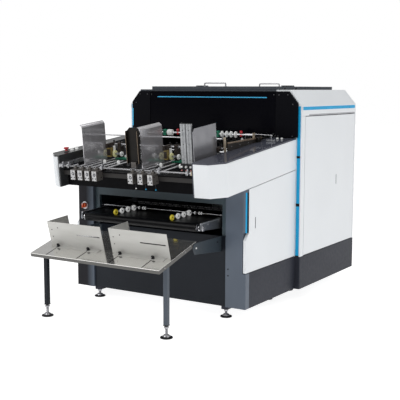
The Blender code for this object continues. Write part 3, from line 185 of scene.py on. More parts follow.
# the white nylon parts glow with painted light, though none is a lamp
makeFinish("whiteNylonPaintedGlow", (0.84, 0.85, 0.84), (0.74, 0.75, 0.74), **nylon, glow=0.12)
makeFinish("pinkNylon", (0.62, 0.26, 0.24), (0.52, 0.2, 0.19), **nylon)
makeFinish("slotGrey", (0.42, 0.43, 0.45), (0.34, 0.35, 0.37), **pressed)
makeFinish("dialRing", (0.15, 0.14, 0.14), (0.1, 0.1, 0.1), **pressed)
makeFinish("redKnob", (0.58, 0.024, 0.034), (0.48, 0.018, 0.026), grain=18, rough=(0.24, 0.34), coat=0.3)
makeFinish("orangeDial", (0.58, 0.09, 0.026), (0.48, 0.07, 0.02), grain=18, rough=(0.26, 0.36), coat=0.2)
makeFinish("deepHole", (0.004, 0.004, 0.005), grain=18, rough=(0.6, 0.7), specular=0.1)
makeFinish("channelBrown", (0.012, 0.01, 0.008), (0.008, 0.007, 0.006), **anodised, specular=0.15)


def makeShaded(name, plain, litTone, start, end, specular):
    # painted shade: the paint passes from a shadow tone to a lit tone along the piece's x
    mat = makeFinish(name, plain, **paint, specular=specular)
    tree = mat.node_tree
    base = tree.nodes["Principled BSDF"].inputs["Base Color"]
    place = addNode(tree, "TexCoord").outputs["Object"]
    split = addNode(tree, "SeparateXYZ", {}, {"Vector": place})
    share = addNode(tree, "MapRange", {"From Min": start, "From Max": end}, {"Value": split.outputs["X"]})
    mix = addNode(tree, "MixRGB", {"Color2": (*litTone, 1.0)},
                  {"Fac": share.outputs["Result"], "Color1": base.links[0].from_socket})
    tree.links.new(mix.outputs["Color"], base)


# the left column: painted shade, dark on its outer part and lighter towards the mouth
makeShaded("leftColumnPaintedShade", (0.007, 0.007, 0.011), (0.085, 0.105, 0.135), -0.64, -0.58, 0.18)
print("finishes made:", len(finishes))

# shapes

edgeLook = {"roundFrom": 28, "sharpFrom": 38, "cadRoundFrom": 35, "cadSteps": 2, "cadWeld": 0.00002}
upward, forward, backward, outward = (0, 0, 1), (0, -1, 0), (0, 1, 0), (1, 0, 0)
axisOrder = {"x": (2, 0, 1), "y": (0, 2, 1), "z": (0, 1, 2)}


def joinRings(shape, rings, caps=True):
    # faces between neighbouring rings of points; a ring may be a single point
    for a, b in zip(rings, rings[1:]):
        count = max(len(a), len(b))
        for i in range(count):
            j = (i + 1) % count
            corners = (a[i % len(a)], a[j % len(a)], b[j % len(b)], b[i % len(b)])
            corners = list(dict.fromkeys(corners))
            if len(corners) > 2:
                shape.faces.new(corners)
    for ring in (rings[0], rings[-1]):
        if caps and len(ring) > 1:
            shape.faces.new(ring)


class Part:
    # one mesh gathered from shapes in millimetres, each shape with its own finish
    def __init__(self, place=machineFrame):
        self.bm = bmesh.new()
        self.looks = []
        self.place = place
        self.at()

    def at(self, x=0, y=0, z=0, side=1):
        # the next shapes are measured from here, and mirrored in x where side is -1
        self.home, self.side = (x, y, z), side

    def spot(self, place):
        # from millimetres measured here to the mesh's metres
        x, y, z = (a + b for a, b in zip(place, self.home))
        return self.side * x / 1000, y / 1000, z / 1000

    def bothSides(self):
        for self.side in (-1, 1):
            yield self.side

    def add(self, shape, look, soft=0.0, steps=2, most=181.0):
        # edges that turn between roundFrom and most degrees are rounded by soft
        if look not in self.looks:
            self.looks.append(look)
        bmesh.ops.recalc_face_normals(shape, faces=shape.faces)
        edges = [e for e in shape.edges if len(e.link_faces) == 2
                 and math.radians(edgeLook["roundFrom"]) < e.calc_face_angle(0.0) < math.radians(most)]
        if soft and edges:
            bmesh.ops.bevel(shape, geom=edges, offset=soft / 1000, offset_type="OFFSET", segments=steps,
                            profile=0.5, affect="EDGES", clamp_overlap=True)
        for face in shape.faces:
            face.material_index = self.looks.index(look)
            face.smooth = True
        mesh = bpy.data.meshes.new("spare")
        shape.to_mesh(mesh)
        shape.free()
        self.bm.from_mesh(mesh)
        bpy.data.meshes.remove(mesh)

    def box(self, corner, opposite, look, soft=1.0, steps=2):
        shape = bmesh.new()
        ends = list(zip(self.spot(corner), self.spot(opposite)))
        size, middle = [abs(b - a) for a, b in ends], [(a + b) / 2 for a, b in ends]
        bmesh.ops.create_cube(shape, size=1.0, matrix=Matrix.Translation(middle) @ Matrix.Diagonal((*size, 1.0)))
        self.add(shape, look, soft, steps)

    def prism(self, outline, axis, start, end, look, soft=1.0, steps=2, most=181.0):
        shape = bmesh.new()
        rows = []
        for height in (start, end):
            corners = [[(a, b, height)[i] for i in axisOrder[axis]] for a, b in outline]
            rows.append([shape.verts.new(self.spot(corner)) for corner in corners])
        joinRings(shape, rows)
        self.add(shape, look, soft, steps, most)

    def turned(self, profile, at, axis, look, sides=24):
        # profile runs from one end to the other as (radius, distance along the axis)
        shape = bmesh.new()
        turn = Matrix.Translation(at) @ Vector(axis).to_track_quat("Z", "Y").to_matrix().to_4x4()
        rings = []
        for radius, along in profile:
            angles = [2 * math.pi * i / sides for i in range(sides if radius else 1)]
            corners = [turn @ Vector((radius * math.cos(a), radius * math.sin(a), along)) for a in angles]
            rings.append([shape.verts.new(self.spot(corner)) for corner in corners])
        joinRings(shape, rings)
        self.add(shape, look)

    def rod(self, start, end, radius, look, sides=18):
        start, end = Vector(start), Vector(end)
        long = (end - start).length
        edge = min(radius * 0.25, long / 4)
        self.turned([(radius - edge, 0), (radius, edge), (radius, long - edge), (radius - edge, long)],
                    start, end - start, look, sides)

    def tube(self, points, radius, look, sides):
        # a round bar bent along the points
        shape = bmesh.new()
        points = [Vector(p) for p in points]
        side = (points[1] - points[0]).orthogonal().normalized()
        rings = []
        for i, point in enumerate(points):
            ahead = (points[min(i + 1, len(points) - 1)] - points[max(i - 1, 0)]).normalized()
            side = (side - ahead * side.dot(ahead)).normalized()
            over = ahead.cross(side)
            angles = [2 * math.pi * k / sides for k in range(sides)]
            corners = [point + radius * (side * math.cos(a) + over * math.sin(a)) for a in angles]
            rings.append([shape.verts.new(self.spot(corner)) for corner in corners])
        joinRings(shape, rings)
        self.add(shape, look)

    def plate(self, across, along, holes, bottom, top, look, axis="z"):
        # a flat plate laid out on a grid, with the cells in holes left open
        shape = bmesh.new()
        order = axisOrder[axis]
        grid = {(i, j): shape.verts.new(self.spot([(a, b, top)[k] for k in order]))
                for i, a in enumerate(across) for j, b in enumerate(along)}
        faces = [shape.faces.new((grid[i, j], grid[i + 1, j], grid[i + 1, j + 1], grid[i, j + 1]))
                 for i in range(len(across) - 1) for j in range(len(along) - 1) if (i, j) not in holes]
        made = bmesh.ops.extrude_face_region(shape, geom=faces)
        moved = [v for v in made["geom"] if isinstance(v, bmesh.types.BMVert)]
        bmesh.ops.translate(shape, vec=[(0, 0, (bottom - top) / 1000)[k] for k in order], verts=moved)
        self.add(shape, look)

    def hexagon(self, at, across, tall, look):
        r = across / math.sqrt(3.0)
        self.turned([(r * 0.86, 0), (r, tall * 0.15), (r, tall * 0.85), (r * 0.86, tall)], at, upward, look, 6)

    def screw(self, at, axis, radius, look="blackOxide", proud=None):
        # a socket head with its recess
        tall = proud or radius * 0.7
        self.turned([(0, tall * 0.45), (radius * 0.45, tall * 0.45), (radius * 0.5, tall), (radius * 0.86, tall),
                     (radius, tall * 0.8), (radius, -0.4)], at, axis, look, 12)

    def knob(self, at, radius, tall, look):
        self.turned([(0, tall), (radius * 0.8, tall), (radius, tall * 0.8), (radius, tall * 0.3),
                     (radius * 0.6, tall * 0.2), (radius * 0.6, -0.4)], at, upward, look, 20)

    def wheel(self, at, radius, wide, tyre, hub="nickel", sides=28):
        self.turned([(radius * 0.55, 0), (radius * 0.92, 0), (radius, wide * 0.18), (radius, wide * 0.82),
                     (radius * 0.92, wide), (radius * 0.55, wide)], at, outward, tyre, sides)
        self.turned([(0, -1.2), (radius * 0.22, -1.2), (radius * 0.26, 0), (radius * 0.60, wide * 0.08),
                     (radius * 0.6, wide * 0.92), (radius * 0.26, wide), (radius * 0.22, wide + 1.2),
                     (0, wide + 1.2)], at, outward, hub, sides)

    def done(self, name, body="machine", stands=()):
        bmesh.ops.transform(self.bm, matrix=self.place, verts=self.bm.verts)
        mesh = bpy.data.meshes.new(name)
        self.bm.to_mesh(mesh)
        self.bm.free()
        for look in self.looks:
            mesh.materials.append(finishes[look])
        mesh.set_sharp_from_angle(angle=math.radians(edgeLook["sharpFrom"]))
        obj = addObject(name, mesh)
        even = obj.modifiers.new("evenShade", "WEIGHTED_NORMAL")
        even.keep_sharp = True
        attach(obj, body)
        if stands:
            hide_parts(*stands)


def dressNode(name, look, soft):
    # a CAD node keeps its shape, gets its finish and softly rounded edges
    obj = nodes[name]
    mat = finishes[look]
    if not obj.material_slots:
        obj.data.materials.append(mat)
    for place in obj.material_slots:
        place.link = "OBJECT"
        place.material = mat
    weld = obj.modifiers.new("joinCorners", "WELD")
    weld.merge_threshold = edgeLook["cadWeld"]
    edge = obj.modifiers.new("softEdges", "BEVEL")
    edge.width = soft / 1000
    edge.segments = edgeLook["cadSteps"]
    edge.limit_method = "ANGLE"
    edge.angle_limit = math.radians(edgeLook["cadRoundFrom"])
    edge.use_clamp_overlap = True

# camera, light and floor, in metres

cameraLook = {"at": (3.472, -5.457, 1.556), "turn": 32.22, "down": 7.306, "roll": 0.141, "lens": 77.31,
              "shift": (0.0018, -0.0021)}
lightLook = {
    "key": {"at": (-2.6, -5.2, 4.6), "aim": (0.0, 0.0, 0.8), "size": 3.2, "power": 116.0},
    "side": {"at": (5.6, -1.2, 3.6), "aim": (0.0, 0.2, 0.8), "size": 3.6, "power": 42.0},
    "top": {"at": (0.2, 0.4, 5.2), "aim": (0.0, 0.2, 0.0), "size": 4.0, "power": 82.0},
}
worldLook = {"seen": 1.0, "sky": 0.42, "low": 0.26}
floorLook = {"half": 30.0, "glow": 1.78, "tone": (0.55, 0.55, 0.55)}


def makeCamera():
    data = bpy.data.cameras.new("mainCamera")
    data.lens = cameraLook["lens"]
    data.sensor_width = 36.0
    data.shift_x, data.shift_y = cameraLook["shift"]
    data.clip_end = 100.0
    cam = addObject("mainCamera", data)
    turn = (Matrix.Rotation(math.radians(cameraLook["turn"]), 4, "Z")
            @ Matrix.Rotation(math.radians(90.0 - cameraLook["down"]), 4, "X")
            @ Matrix.Rotation(math.radians(cameraLook["roll"]), 4, "Z"))
    cam.matrix_world = Matrix.Translation(cameraLook["at"]) @ turn
    bpy.context.scene.camera = cam


def makeLights():
    for name, look in lightLook.items():
        data = bpy.data.lights.new(name, "AREA")
        data.shape = "SQUARE"
        data.size = look["size"]
        data.energy = look["power"]
        lamp = addObject(name, data)
        lamp.location = look["at"]
        lamp.rotation_mode = "QUATERNION"
        lamp.rotation_quaternion = (Vector(look["aim"]) - Vector(look["at"])).to_track_quat("-Z", "Y")
    # the sky brightens upward, and shows as plain white behind the machine
    world = bpy.data.worlds.new("studio")
    bpy.context.scene.world = world
    world.use_nodes = True
    tree = world.node_tree
    seen, sky, low = ([value] * 3 for value in pick(worldLook, "seen sky low"))
    place = addNode(tree, "TexCoord").outputs["Generated"]
    split = addNode(tree, "SeparateXYZ", {}, {"Vector": place})
    half = addNode(tree, "MapRange", {"From Min": -1.0}, {"Value": split.outputs["Z"]})
    ramp = addNode(tree, "ValToRGB", {}, {"Fac": half.outputs["Result"]})
    setRamp(ramp, (0.35, low), (0.75, sky))
    path = addNode(tree, "LightPath").outputs["Is Camera Ray"]
    mix = addNode(tree, "MixRGB", {"Color2": (*seen, 1.0)}, {"Color1": ramp.outputs["Color"], "Fac": path})
    tree.links.new(mix.outputs["Color"], tree.nodes["Background"].inputs["Color"])
    bpy.context.scene.view_settings.view_transform = "Standard"


def makeFloor():
    bm = bmesh.new()
    bmesh.ops.create_grid(bm, x_segments=2, y_segments=2, size=floorLook["half"])
    mesh = bpy.data.meshes.new("floor")
    bm.to_mesh(mesh)
    bm.free()
    floor = addObject("floor", mesh)
    mesh.materials.append(makeFinish("paleFloor", floorLook["tone"], grain=1, rough=(0.6, 0.7), bump=0.0,
                                     glow=floorLook["glow"], specular=0.1))


makeCamera()
makeLights()
makeFloor()
print("camera, light and floor ready")

# panels that stay as the CAD has them: finish and width of the rounded edges, in millimetres

panelLook = {
    ("leftColumnPaintedShade", 1.5): ["left_column"],
    ("columnPaint", 1.5): ["right_column"],
    ("slatePaintAndShade", 1.5): ["front_panel"],
    ("lintelPaint", 1.5): ["mouth_frame"],
    ("slatePaintAndShade", 1): ["left_wall", "right_wall", "left_frame_plate", "right_frame_plate"],
    ("innerBlackAndShade", 1): ["drive_housing", "upper_housing"],
    ("whitePowder", 2): ["left_front_panel", "front_side_door", "left_rear_panel", "rear_side_door",
                         "left_post", "right_post"],
    ("lightBlue", 1): ["left_light_strip", "right_light_strip"],
    ("hoodBlack", 2): ["hood_frame"],
    ("smokedGlass", 1): ["hood_glass"],
    ("whitePowder", 3): ["left_arm_cover", "right_arm_cover"],
    ("shadedArmTop", 1.2): ["left_arm_frame"],
    ("armTopPaint", 1.2): ["right_arm_frame"],
    ("bedBlackAndShade", 1.2): ["feeder_bed"],
    ("lidPaint", 0.8): ["lid_bar"],
    ("bracketPaint", 0.8): ["left_table_bracket", "right_table_bracket"],
}
for (look, soft), names in panelLook.items():
    for name in names:
        dressNode(name, look, soft)
print("CAD panels dressed:", sum(len(names) for names in panelLook.values()))

# plinths and levelling feet

footLook = {"disc": 41, "stem": 9, "nut": 30, "pitch": 3}


def addFoot(part, top):
    disc, stem, pitch = pick(footLook, "disc stem pitch")
    thin = stem * 0.86
    part.turned([(0, 0), (disc - 2, 0), (disc, 1.5), (disc, 6), (disc - 2, 8.5), (disc * 0.66, 11.2), (0, 11.2)],
                (0, 0, 0), upward, "blackOxide", 32)
    part.turned([(0, 11), (disc * 0.60, 11), (disc * 0.52, 19), (disc * 0.40, 22.5), (0, 22.5)],
                (0, 0, 0), upward, "nickel", 28)
    thread = [(thin, 22)]
    for i in range(int((top - 24) / pitch)):
        thread += [(stem, 23.5 + pitch * i), (thin, 25 + pitch * i)]
    part.turned(thread + [(thin, top)], (0, 0, 0), upward, "shaftChrome", 16)
    part.hexagon((0, 0, top - 22), footLook["nut"], 12, "nickel")


baseLook = {"low": 80, "high": 325, "footX": 553, "footTop": 64,
            "bodyHalf": 728.6, "bodyEnds": (50.3, 744.7), "bodyFeet": (45, 650),
            "cabinetHalf": 770, "cabinetEnds": (745, 1765), "cabinetFeet": (995, 1665)}


def makeBases():
    low, high, footX, footTop = pick(baseLook, "low high footX footTop")
    half, (front, rear) = pick(baseLook, "bodyHalf bodyEnds")
    body = Part()
    body.box((-half, front, low), (half, rear, high), "skirtPaint", 2)
    for side in (-1, 1):
        for y in baseLook["bodyFeet"]:
            body.at(footX, y, 0, side)
            body.box((-25, -25, 56), (25, 50, low - 0.3), "skirtPaint", 2)
            body.box((-25, 6, 60), (25, 50, low + 6), "skirtPaint", 0)
            addFoot(body, footTop)
    body.done("bodyBase", stands=["body_base"])

    half, (front, rear) = pick(baseLook, "cabinetHalf cabinetEnds")
    cabinet = Part()
    cabinet.prism([(4 - half, front), (half - 4, front), (half, front + 12), (half, rear), (-half, rear),
                   (-half, front + 12)], "z", low, high, "skirtPaint", 1.5)
    for side in (-1, 1):
        for y in baseLook["cabinetFeet"]:
            cabinet.at(footX, y, 0, side)
            cabinet.box((-25, -25, 56), (25, 50, low + 6), "skirtPaint", 2)
            addFoot(cabinet, footTop)
    cabinet.done("cabinetBase", stands=["cabinet_base"])


makeBases()

# cabinet roof and rear cover

roofLook = {"half": 672, "side": 770, "top": 1551.8, "corner": 1436.8, "low": 1362.8, "sheet": 20,
            "front": 745.3, "rear": 1744.7, "hole": (517, 793, 1705),
            "strip": (1405, 1430), "recess": 1.2, "slit": 1374, "slitFrom": 867, "slitX": (768, 769.8),
            "post": (732, 760), "stops": ((620, 758), (620, 947))}
rearLook = {"low": 325.3, "front": 1745, "face": 1763.7, "screwsX": (-735, -250, 250, 735),
            "screwsZ": (360, 840, 1330)}


def roofSide():
    # the right half of the roof's section, with a shallow recess for the light strip
    half, out, top, corner, end, t = pick(roofLook, "half side top corner low sheet")
    (inner, *_), slit, (low, high) = pick(roofLook, "hole slit strip")
    recess = out - roofLook["recess"]
    slant = t * 0.4
    return [(inner, top), (half, top), (out, corner), (out, high), (recess, high), (recess, low), (out, low),
            (out, slit), (recess, slit), (recess, end), (out - t, end), (out - t, corner - slant),
            (half - slant, top - t), (inner, top - t)]


def makeRoof():
    half, out, top, corner, low, t = pick(roofLook, "half side top corner low sheet")
    (hole, holeFront, holeRear), front, rear, slitFrom = pick(roofLook, "hole front rear slitFrom")
    stripLow, stripHigh = roofLook["strip"]
    slit, stripBack = roofLook["slit"] - 0.1, front + 6
    (inner, outer), (slitLeft, slitRight) = pick(roofLook, "post slitX")
    shell = Part()
    for side in shell.bothSides():
        shell.prism(roofSide(), "y", stripBack, rear, "whitePowder", 4, 3, most=65.0)
        # the front edge leaves room for the upright light strip
        head = corner - 3
        shell.prism([(hole, top), (half, top), (out, corner), (out, low), (outer, low), (outer, head), (inner, head),
                     (half - 8, top - 20), (hole, top - 20)], "y", front, stripBack, "whitePowder", 0)
        shell.box((out - 3, stripBack + 11, stripLow + 0.3), (out - 0.2, rear, stripHigh - 0.3), "lightBlue", 0)
        shell.box((out - 3, front, stripLow), (out - 0.1, stripBack + 11.5, stripHigh), "whitePowder", 0)
    for a, b in ((front, holeFront), (holeRear, rear)):
        shell.box((-hole, a, top - t), (hole, b, top), "whitePowder", 0)
    shell.done("roofShell", stands=["roof_shell"])

    slits = Part()
    for side in slits.bothSides():
        slits.box((slitLeft, stripBack, low), (slitRight, slitFrom, slit), "whitePowder", 0)
        slits.box((slitLeft, slitFrom, low), (slitRight, rear, slit), "slotGrey", 0)
    slits.done("roofSlits")

    back = Part()
    end, face = rearLook["low"], rearLook["face"]
    back.prism([(-out, end), (out, end), (out, corner), (half, top), (-half, top), (-out, corner)],
               "y", rearLook["front"], face, "whitePowder", 2)
    for x in rearLook["screwsX"]:
        for z in rearLook["screwsZ"]:
            back.screw((x, face, z), backward, 5.5, "nickel", 1.2)
    back.done("rearCover", stands=["rear_cover"])

    bumps = Part()
    for x, y in roofLook["stops"]:
        bumps.turned([(0, 16), (4, 15.5), (7, 12), (8.5, 4), (8.5, -0.4)], (x, y, top), upward, "blackOxide", 20)
    bumps.box((-668, 740.5, 1540.2), (-562.5, 744.6, 1552.7), "lidPaint", 0)
    bumps.done("roofStops")


makeRoof()

# light strips and small fasteners on the panels

stripLook = {"x": (731.8, 760.2), "front": 744.4, "clips": ((1055, 1072), (700, 722), (325.6, 333)),
             "foot": (333, 375.6)}
cornerLightLook = {"low": 602, "high": 874, "thick": (0.6, -1),
                   "tones": ((0.4, 0.7, "lightBlue"), (0.7, 1.0, "innerBlackAndShade"))}


def makeStrips():
    clips = Part()
    (inner, outer), front, (footLow, footHigh) = pick(stripLook, "x front foot")
    for side in clips.bothSides():
        for low, high in stripLook["clips"]:
            clips.box((inner, front, low), (outer, front + 1.8, high), "slatePaintAndShade", 0.6)
        clips.box((inner + 0.2, front, footLow), (outer - 0.2, front + 1.4, footHigh), "lightBlue", 0)
    clips.done("lightStripClips")

    corner = Part()
    proud, deep = cornerLightLook["thick"]
    for side in corner.bothSides():
        for start, end, look in cornerLightLook["tones"]:
            # laid on the slanting face of the corner column
            points = [(708.6 + 20 * s + out * 0.868, 35 * s - out * 0.496)
                      for s, out in ((start, proud), (end, proud), (end, deep), (start, deep))]
            corner.prism(points, "z", cornerLightLook["low"], cornerLightLook["high"], look, 0)
    corner.done("cornerLightLines")

    hood = Part()
    hood.box((-494, 727.8, 1491.5), (489, 729.6, 1498.5), "skyBlue", 0.4)
    for side in hood.bothSides():
        hood.box((731.5, 723.6, 1262), (742.5, 725.6, 1400), "skyBlue" if side < 0 else "hoodBlack", 0.5)
    hood.done("hoodLightLines")


makeStrips()

panelScrewLook = {"hood": ((549, 1515), (591, 1515), (663, 1516), (703, 1447), (703, 1215), (586, 1213)),
                  "column": (300, 345, 860), "bracket": (500, 545), "panel": (130, 540),
                  "tableBracket": ((-312, 6, "whiteNylonPaintedGlow"), (-45, 5, "blackOxide"))}


def makeFasteners():
    part = Part()
    for side in part.bothSides():
        for x, z in panelScrewLook["hood"]:
            part.screw((x, 725.2, z), forward, 4.5, "dimScrew")
        for z in panelScrewLook["column"]:
            part.screw((592, -0.2, z), forward, 4.5)
        for z in panelScrewLook["bracket"]:
            part.screw((513, 6.6, z), forward, 5, "nickel")
        for y, radius, look in panelScrewLook["tableBracket"]:
            part.screw((533.4, y, 533), outward, radius, look)
        for z in panelScrewLook["panel"]:
            part.screw((450, 11.8, z), forward, 4)
    part.done("panelScrews")


makeFasteners()
print("bases, light strips and screws made")

# lids on the roof

lidLook = {"half": 562, "low": 1552.1, "high": 1576.8, "knuckles": (-400, 400), "pin": 4.5,
           "lip": (740.5, 1540.2, 558, 1553)}
bowLook = {"half": 95, "rise": 26, "rod": 5, "bend": 10}


def makeLid(name, node, body, front, rear, axisY, toward):
    half, low, high, pin, (lipFront, lipLow, lipEnd, lipHigh) = pick(lidLook, "half low high pin lip")
    lid = Part()
    lid.box((-half, front, low), (half, rear, high), "lidPaint", 3, 3)
    if toward < 0:
        lid.box((-half, lipFront, lipLow), (lipEnd, front + 4, lipHigh), "lidPaint", 0)
    for x in lidLook["knuckles"]:
        lid.at(x, axisY, high)
        lid.rod((-15, 0, pin), (15, 0, pin), pin, "blackOxide", 16)
        lid.box((-14.5, toward * 2, -0.5), (14.5, toward * 30, 2), "blackOxide", 0.5)
        lid.screw((0, toward * 19, 2), upward, 3.5, "nickel", 1)
    lid.done(name, body, stands=[node])


def makeBow(name, node, body, y):
    half, rise, bend = pick(bowLook, "half rise bend")
    points = [(-half, 0, 0.3), (-half, 0, rise - bend)]
    for i in range(1, 6):
        a = math.pi / 2 * i / 6
        points.append((-half + bend * (1 - math.cos(a)), 0, rise - bend + bend * math.sin(a)))
    points += [(0, 0, rise)] + [(-x, 0, z) for x, _, z in reversed(points)]
    bow = Part()
    bow.at(0, y, lidLook["high"])
    bow.tube(points, bowLook["rod"], "shaftChrome", 14)
    for side in bow.bothSides():
        bow.turned([(0, 3), (7.5, 3), (8.5, 2), (8.5, 0.3)], (half, 0, 0), upward, "nickel", 18)
    bow.done(name, body, stands=[node])


makeLid("frontLid", "front_lid", "front_cover", 748, 1226, 1228.5, -1)
makeLid("rearLid", "rear_lid", "rear_cover_lid", 1272, 1750, 1269.5, 1)
makeBow("frontBow", "front_bow", "front_cover", 798)
makeBow("rearBow", "rear_bow", "rear_cover_lid", 1700)
print("lids made")

# feeder, measured along its bed (v) and up from it (w): rods, rails and blocks

rodLook = {"left": -599.7, "right": 514.7, "radius": 8, "plate": 8, "front": (-335, -72),
           "guide": ((90, 19), (90, 86))}
endPlate = [(-347, -84), (-347, -64), (-341, -58), (-311, -56), (78, -56), (78, 92), (84, 98), (102, 98),
            (102, -85), (-335, -85)]
rodEnds = ((rodLook["left"], 1, "satinAlu"), (-rodLook["right"], -1, "creamPlate"))  # the left and right arm


def makeGuideRods():
    part = Part(feederFrame)
    x0, x1, r, t, front, guides = pick(rodLook, "left right radius plate front guide")
    for v, w in (front, *guides):
        part.rod((x0 + 1, v, w), (x1 - 1, v, w), r * (0.75 if w < 50 else 0.6), "dullRod" if w < 0 else "brightRod", 20)
    for start, side, look in rodEnds:
        part.at(start, side=side)
        part.prism(endPlate, "x", 0, t, look, 0.8)
        for v, w in (front, *guides):
            part.turned([(0, 0), (12.5, 0), (12.5, 6), (11.5, 7), (0, 7)], (t, v, w), outward, "nickel", 18)
        for v, w in ((-200, -71), (-50, -71), (90, 52), (90, -30)):
            part.screw((t, v, w), outward, 4.2)
    part.done("guideRods", stands=["guide_rods"])
    # a thin grey strip on the beam's front: painted highlight
    face = Part(feederFrame)
    face.box((x0 + 1, -307.8, -143), (x1 - 1, -306.8, -113), "beamPaintedHighlight", 0)
    face.done("beamHighlightStrip")


makeGuideRods()

railLook = {"left": (-455, -392, -329, -266), "right": (42, 122.95, 203.9), "half": 21,
            "front": -377.3, "rear": -307.3, "top": -88, "tall": 73, "slides": (-180, 20, 260, 500),
            "rodW": -65.5, "barW": -95, "barEnd": 640, "lugLow": -104.7}


def makeRails(name, node, places):
    part = Part(feederFrame)
    half, front, rear, top, tall = pick(railLook, "half front rear top tall")
    rodW, barW, barEnd, lugLow = pick(railLook, "rodW barW barEnd lugLow")
    low = top - tall
    for x in places:
        part.at(x)
        part.prism([(-half, low), (-half, top - 4), (4 - half, top), (half - 4, top), (half, top - 4), (half, low)],
                   "y", front + 1, rear, "blockGrey", 1.2)
        part.box((2 - half, front, low + 2), (half - 2, front + 3, top - 4), "brightFace", 0.8)
        # bore, clamping slit and screws on the front face
        part.turned([(0, 0.4), (11, 0.4), (11, -1)], (3, front, low + 44), forward, "deepHole", 18)
        part.turned([(0, 1), (5.5, 1), (5.5, 0)], (3, front, low + 44), forward, "nickel", 18)
        part.box((-0.8, front - 0.2, low + 56), (0.8, front + 4, top - 3.8), "deepHole", 0)
        for across in (-12, 12):
            part.screw((across, front, low + 17), forward, 4.6, "blackOxide", 1.2)
        for v, w in ((20, 52), (50, 20)):
            part.screw((half, front + v, low + w), outward, 4)
        # bright round end over the front rod
        part.box((-12, -347.5, top - 2), (12, -322, -66.5), "blockGrey", 1.5)
        part.rod((0, -362, rodW), (0, -312, rodW), 8.5, "shaftChrome", 20)
        part.turned([(0, 1), (4.5, 1), (5, 0)], (0, -362, rodW), forward, "deepHole", 14)
        # lug to the beam and the long rail behind it
        part.box((-half, rear - 10, lugLow), (half, -262, -91), "blockGrey", 1.2)
        part.rod((0, rear - 2, barW), (0, barEnd, barW), 6, "brightRod", 16)
        part.turned([(0, 0), (9, 0), (9, 10), (8, 11), (0, 11)], (0, -256, barW), backward, "nickel", 16)
        for v in railLook["slides"]:
            part.box((-10, v - 8, barW - 30), (10, v + 8, barW + 2.5), "satinAlu", 1.2)
        # small coloured fittings under the right blocks
        if places[0] > 0:
            part.rod((8, rear - 20, low + 1), (8, rear - 20, low - 36), 2.2, "blackOxide", 10)
            part.rod((8, rear - 20, low - 35), (8, rear - 20, low - 43), 4.2,
                     "lightBlue" if x > 100 else "whiteNylonPaintedGlow", 14)
    part.at()
    part.box((places[0] - half, -323, lugLow), (places[-1] + half, -242, -93), "satinAlu", 1)
    for x in (places[0], places[2]):
        part.at(x, -52, -88)
        part.rod((-1.5, 0, 0), (30.5, 0, 0), 4, "shaftChrome", 14)
        part.turned([(4, 0), (9.5, 0), (10, 1), (12.5, 1), (15, 2), (15, 8), (12.5, 9), (10, 9), (9.5, 10), (4, 10)],
                    (24, 0, 0), outward, "nylonPaintedGlow", 24)
    part.done(name, stands=[node])


makeRails("leftFeedRails", "left_feed_rails", railLook["left"])
makeRails("rightFeedRails", "right_feed_rails", railLook["right"])

guideLook = {
    "leftStackGuide": ("left_stack_guide", -450, -250, 8, 206, 18, "guideSheetMetal"),
    "middleStackGuide": ("middle_stack_guide", 50, -243, 15, 200, 22, "guideSheetMetal"),
    "rightStackGuide": ("right_stack_guide", 465, -235, 55, 200, 0, "rightGuideMetal"),
}
guideSheet = {"thick": 4, "low": -80.8, "lip": 22}


def makeStackGuides():
    t, low, lip = pick(guideSheet, "thick low lip")
    for name, (node, x, v0, v1, high, flare, look) in guideLook.items():
        part = Part(feederFrame)
        part.at(x)
        if flare:
            # the top edge leans out in a curve
            lean = [(high - lip + lip * i / 5, flare * (i / 5) ** 1.6) for i in range(6)]
            part.prism([(0, low)] + [(-out, w) for w, out in lean] + [(t - out, w) for w, out in reversed(lean)]
                       + [(t, low)], "y", v0, v1, look, 0)
        else:
            part.prism([(v0, low), (v0, high - lip), (v0 + lip, high), (v1, high), (v1, low)], "x", 0, t, look, 0.6)
        # clamp that slides on the lower rod
        part.box((1, v1 - 10, 3), (21, 106, 35), "unitBrown", 1.5)
        part.turned([(8.5, 0), (12.5, 0), (12, 2), (8.5, 2)], (20.8, 90, 19), outward, "nickel", 20)
        part.screw((21, v1 + 4, 19), outward, 4.2)
        part.turned([(0, 14), (5, 14), (7, 11), (7, 4), (4, 3), (4, -0.4)], (11, 92, 35), upward, "blackOxide", 18)
        for w in (12, 150):
            part.screw((t, v0 + 22, w), outward, 3.6, "nickel", 1.2)
        part.done(name, stands=[node])


makeStackGuides()

channelLook = {"x": (-55, 45.5), "v": (-269.5, -244.5), "w": (-45, 200), "corner": 22, "screws": (-20, 60, 140)}
postLook = {"places": (369.5, 415), "half": 19.5, "v": (-205, -187), "w": (-42, 230), "groove": (1, 4),
            "screws": (-15, 90, 185), "knobs": (357, 392, 428)}


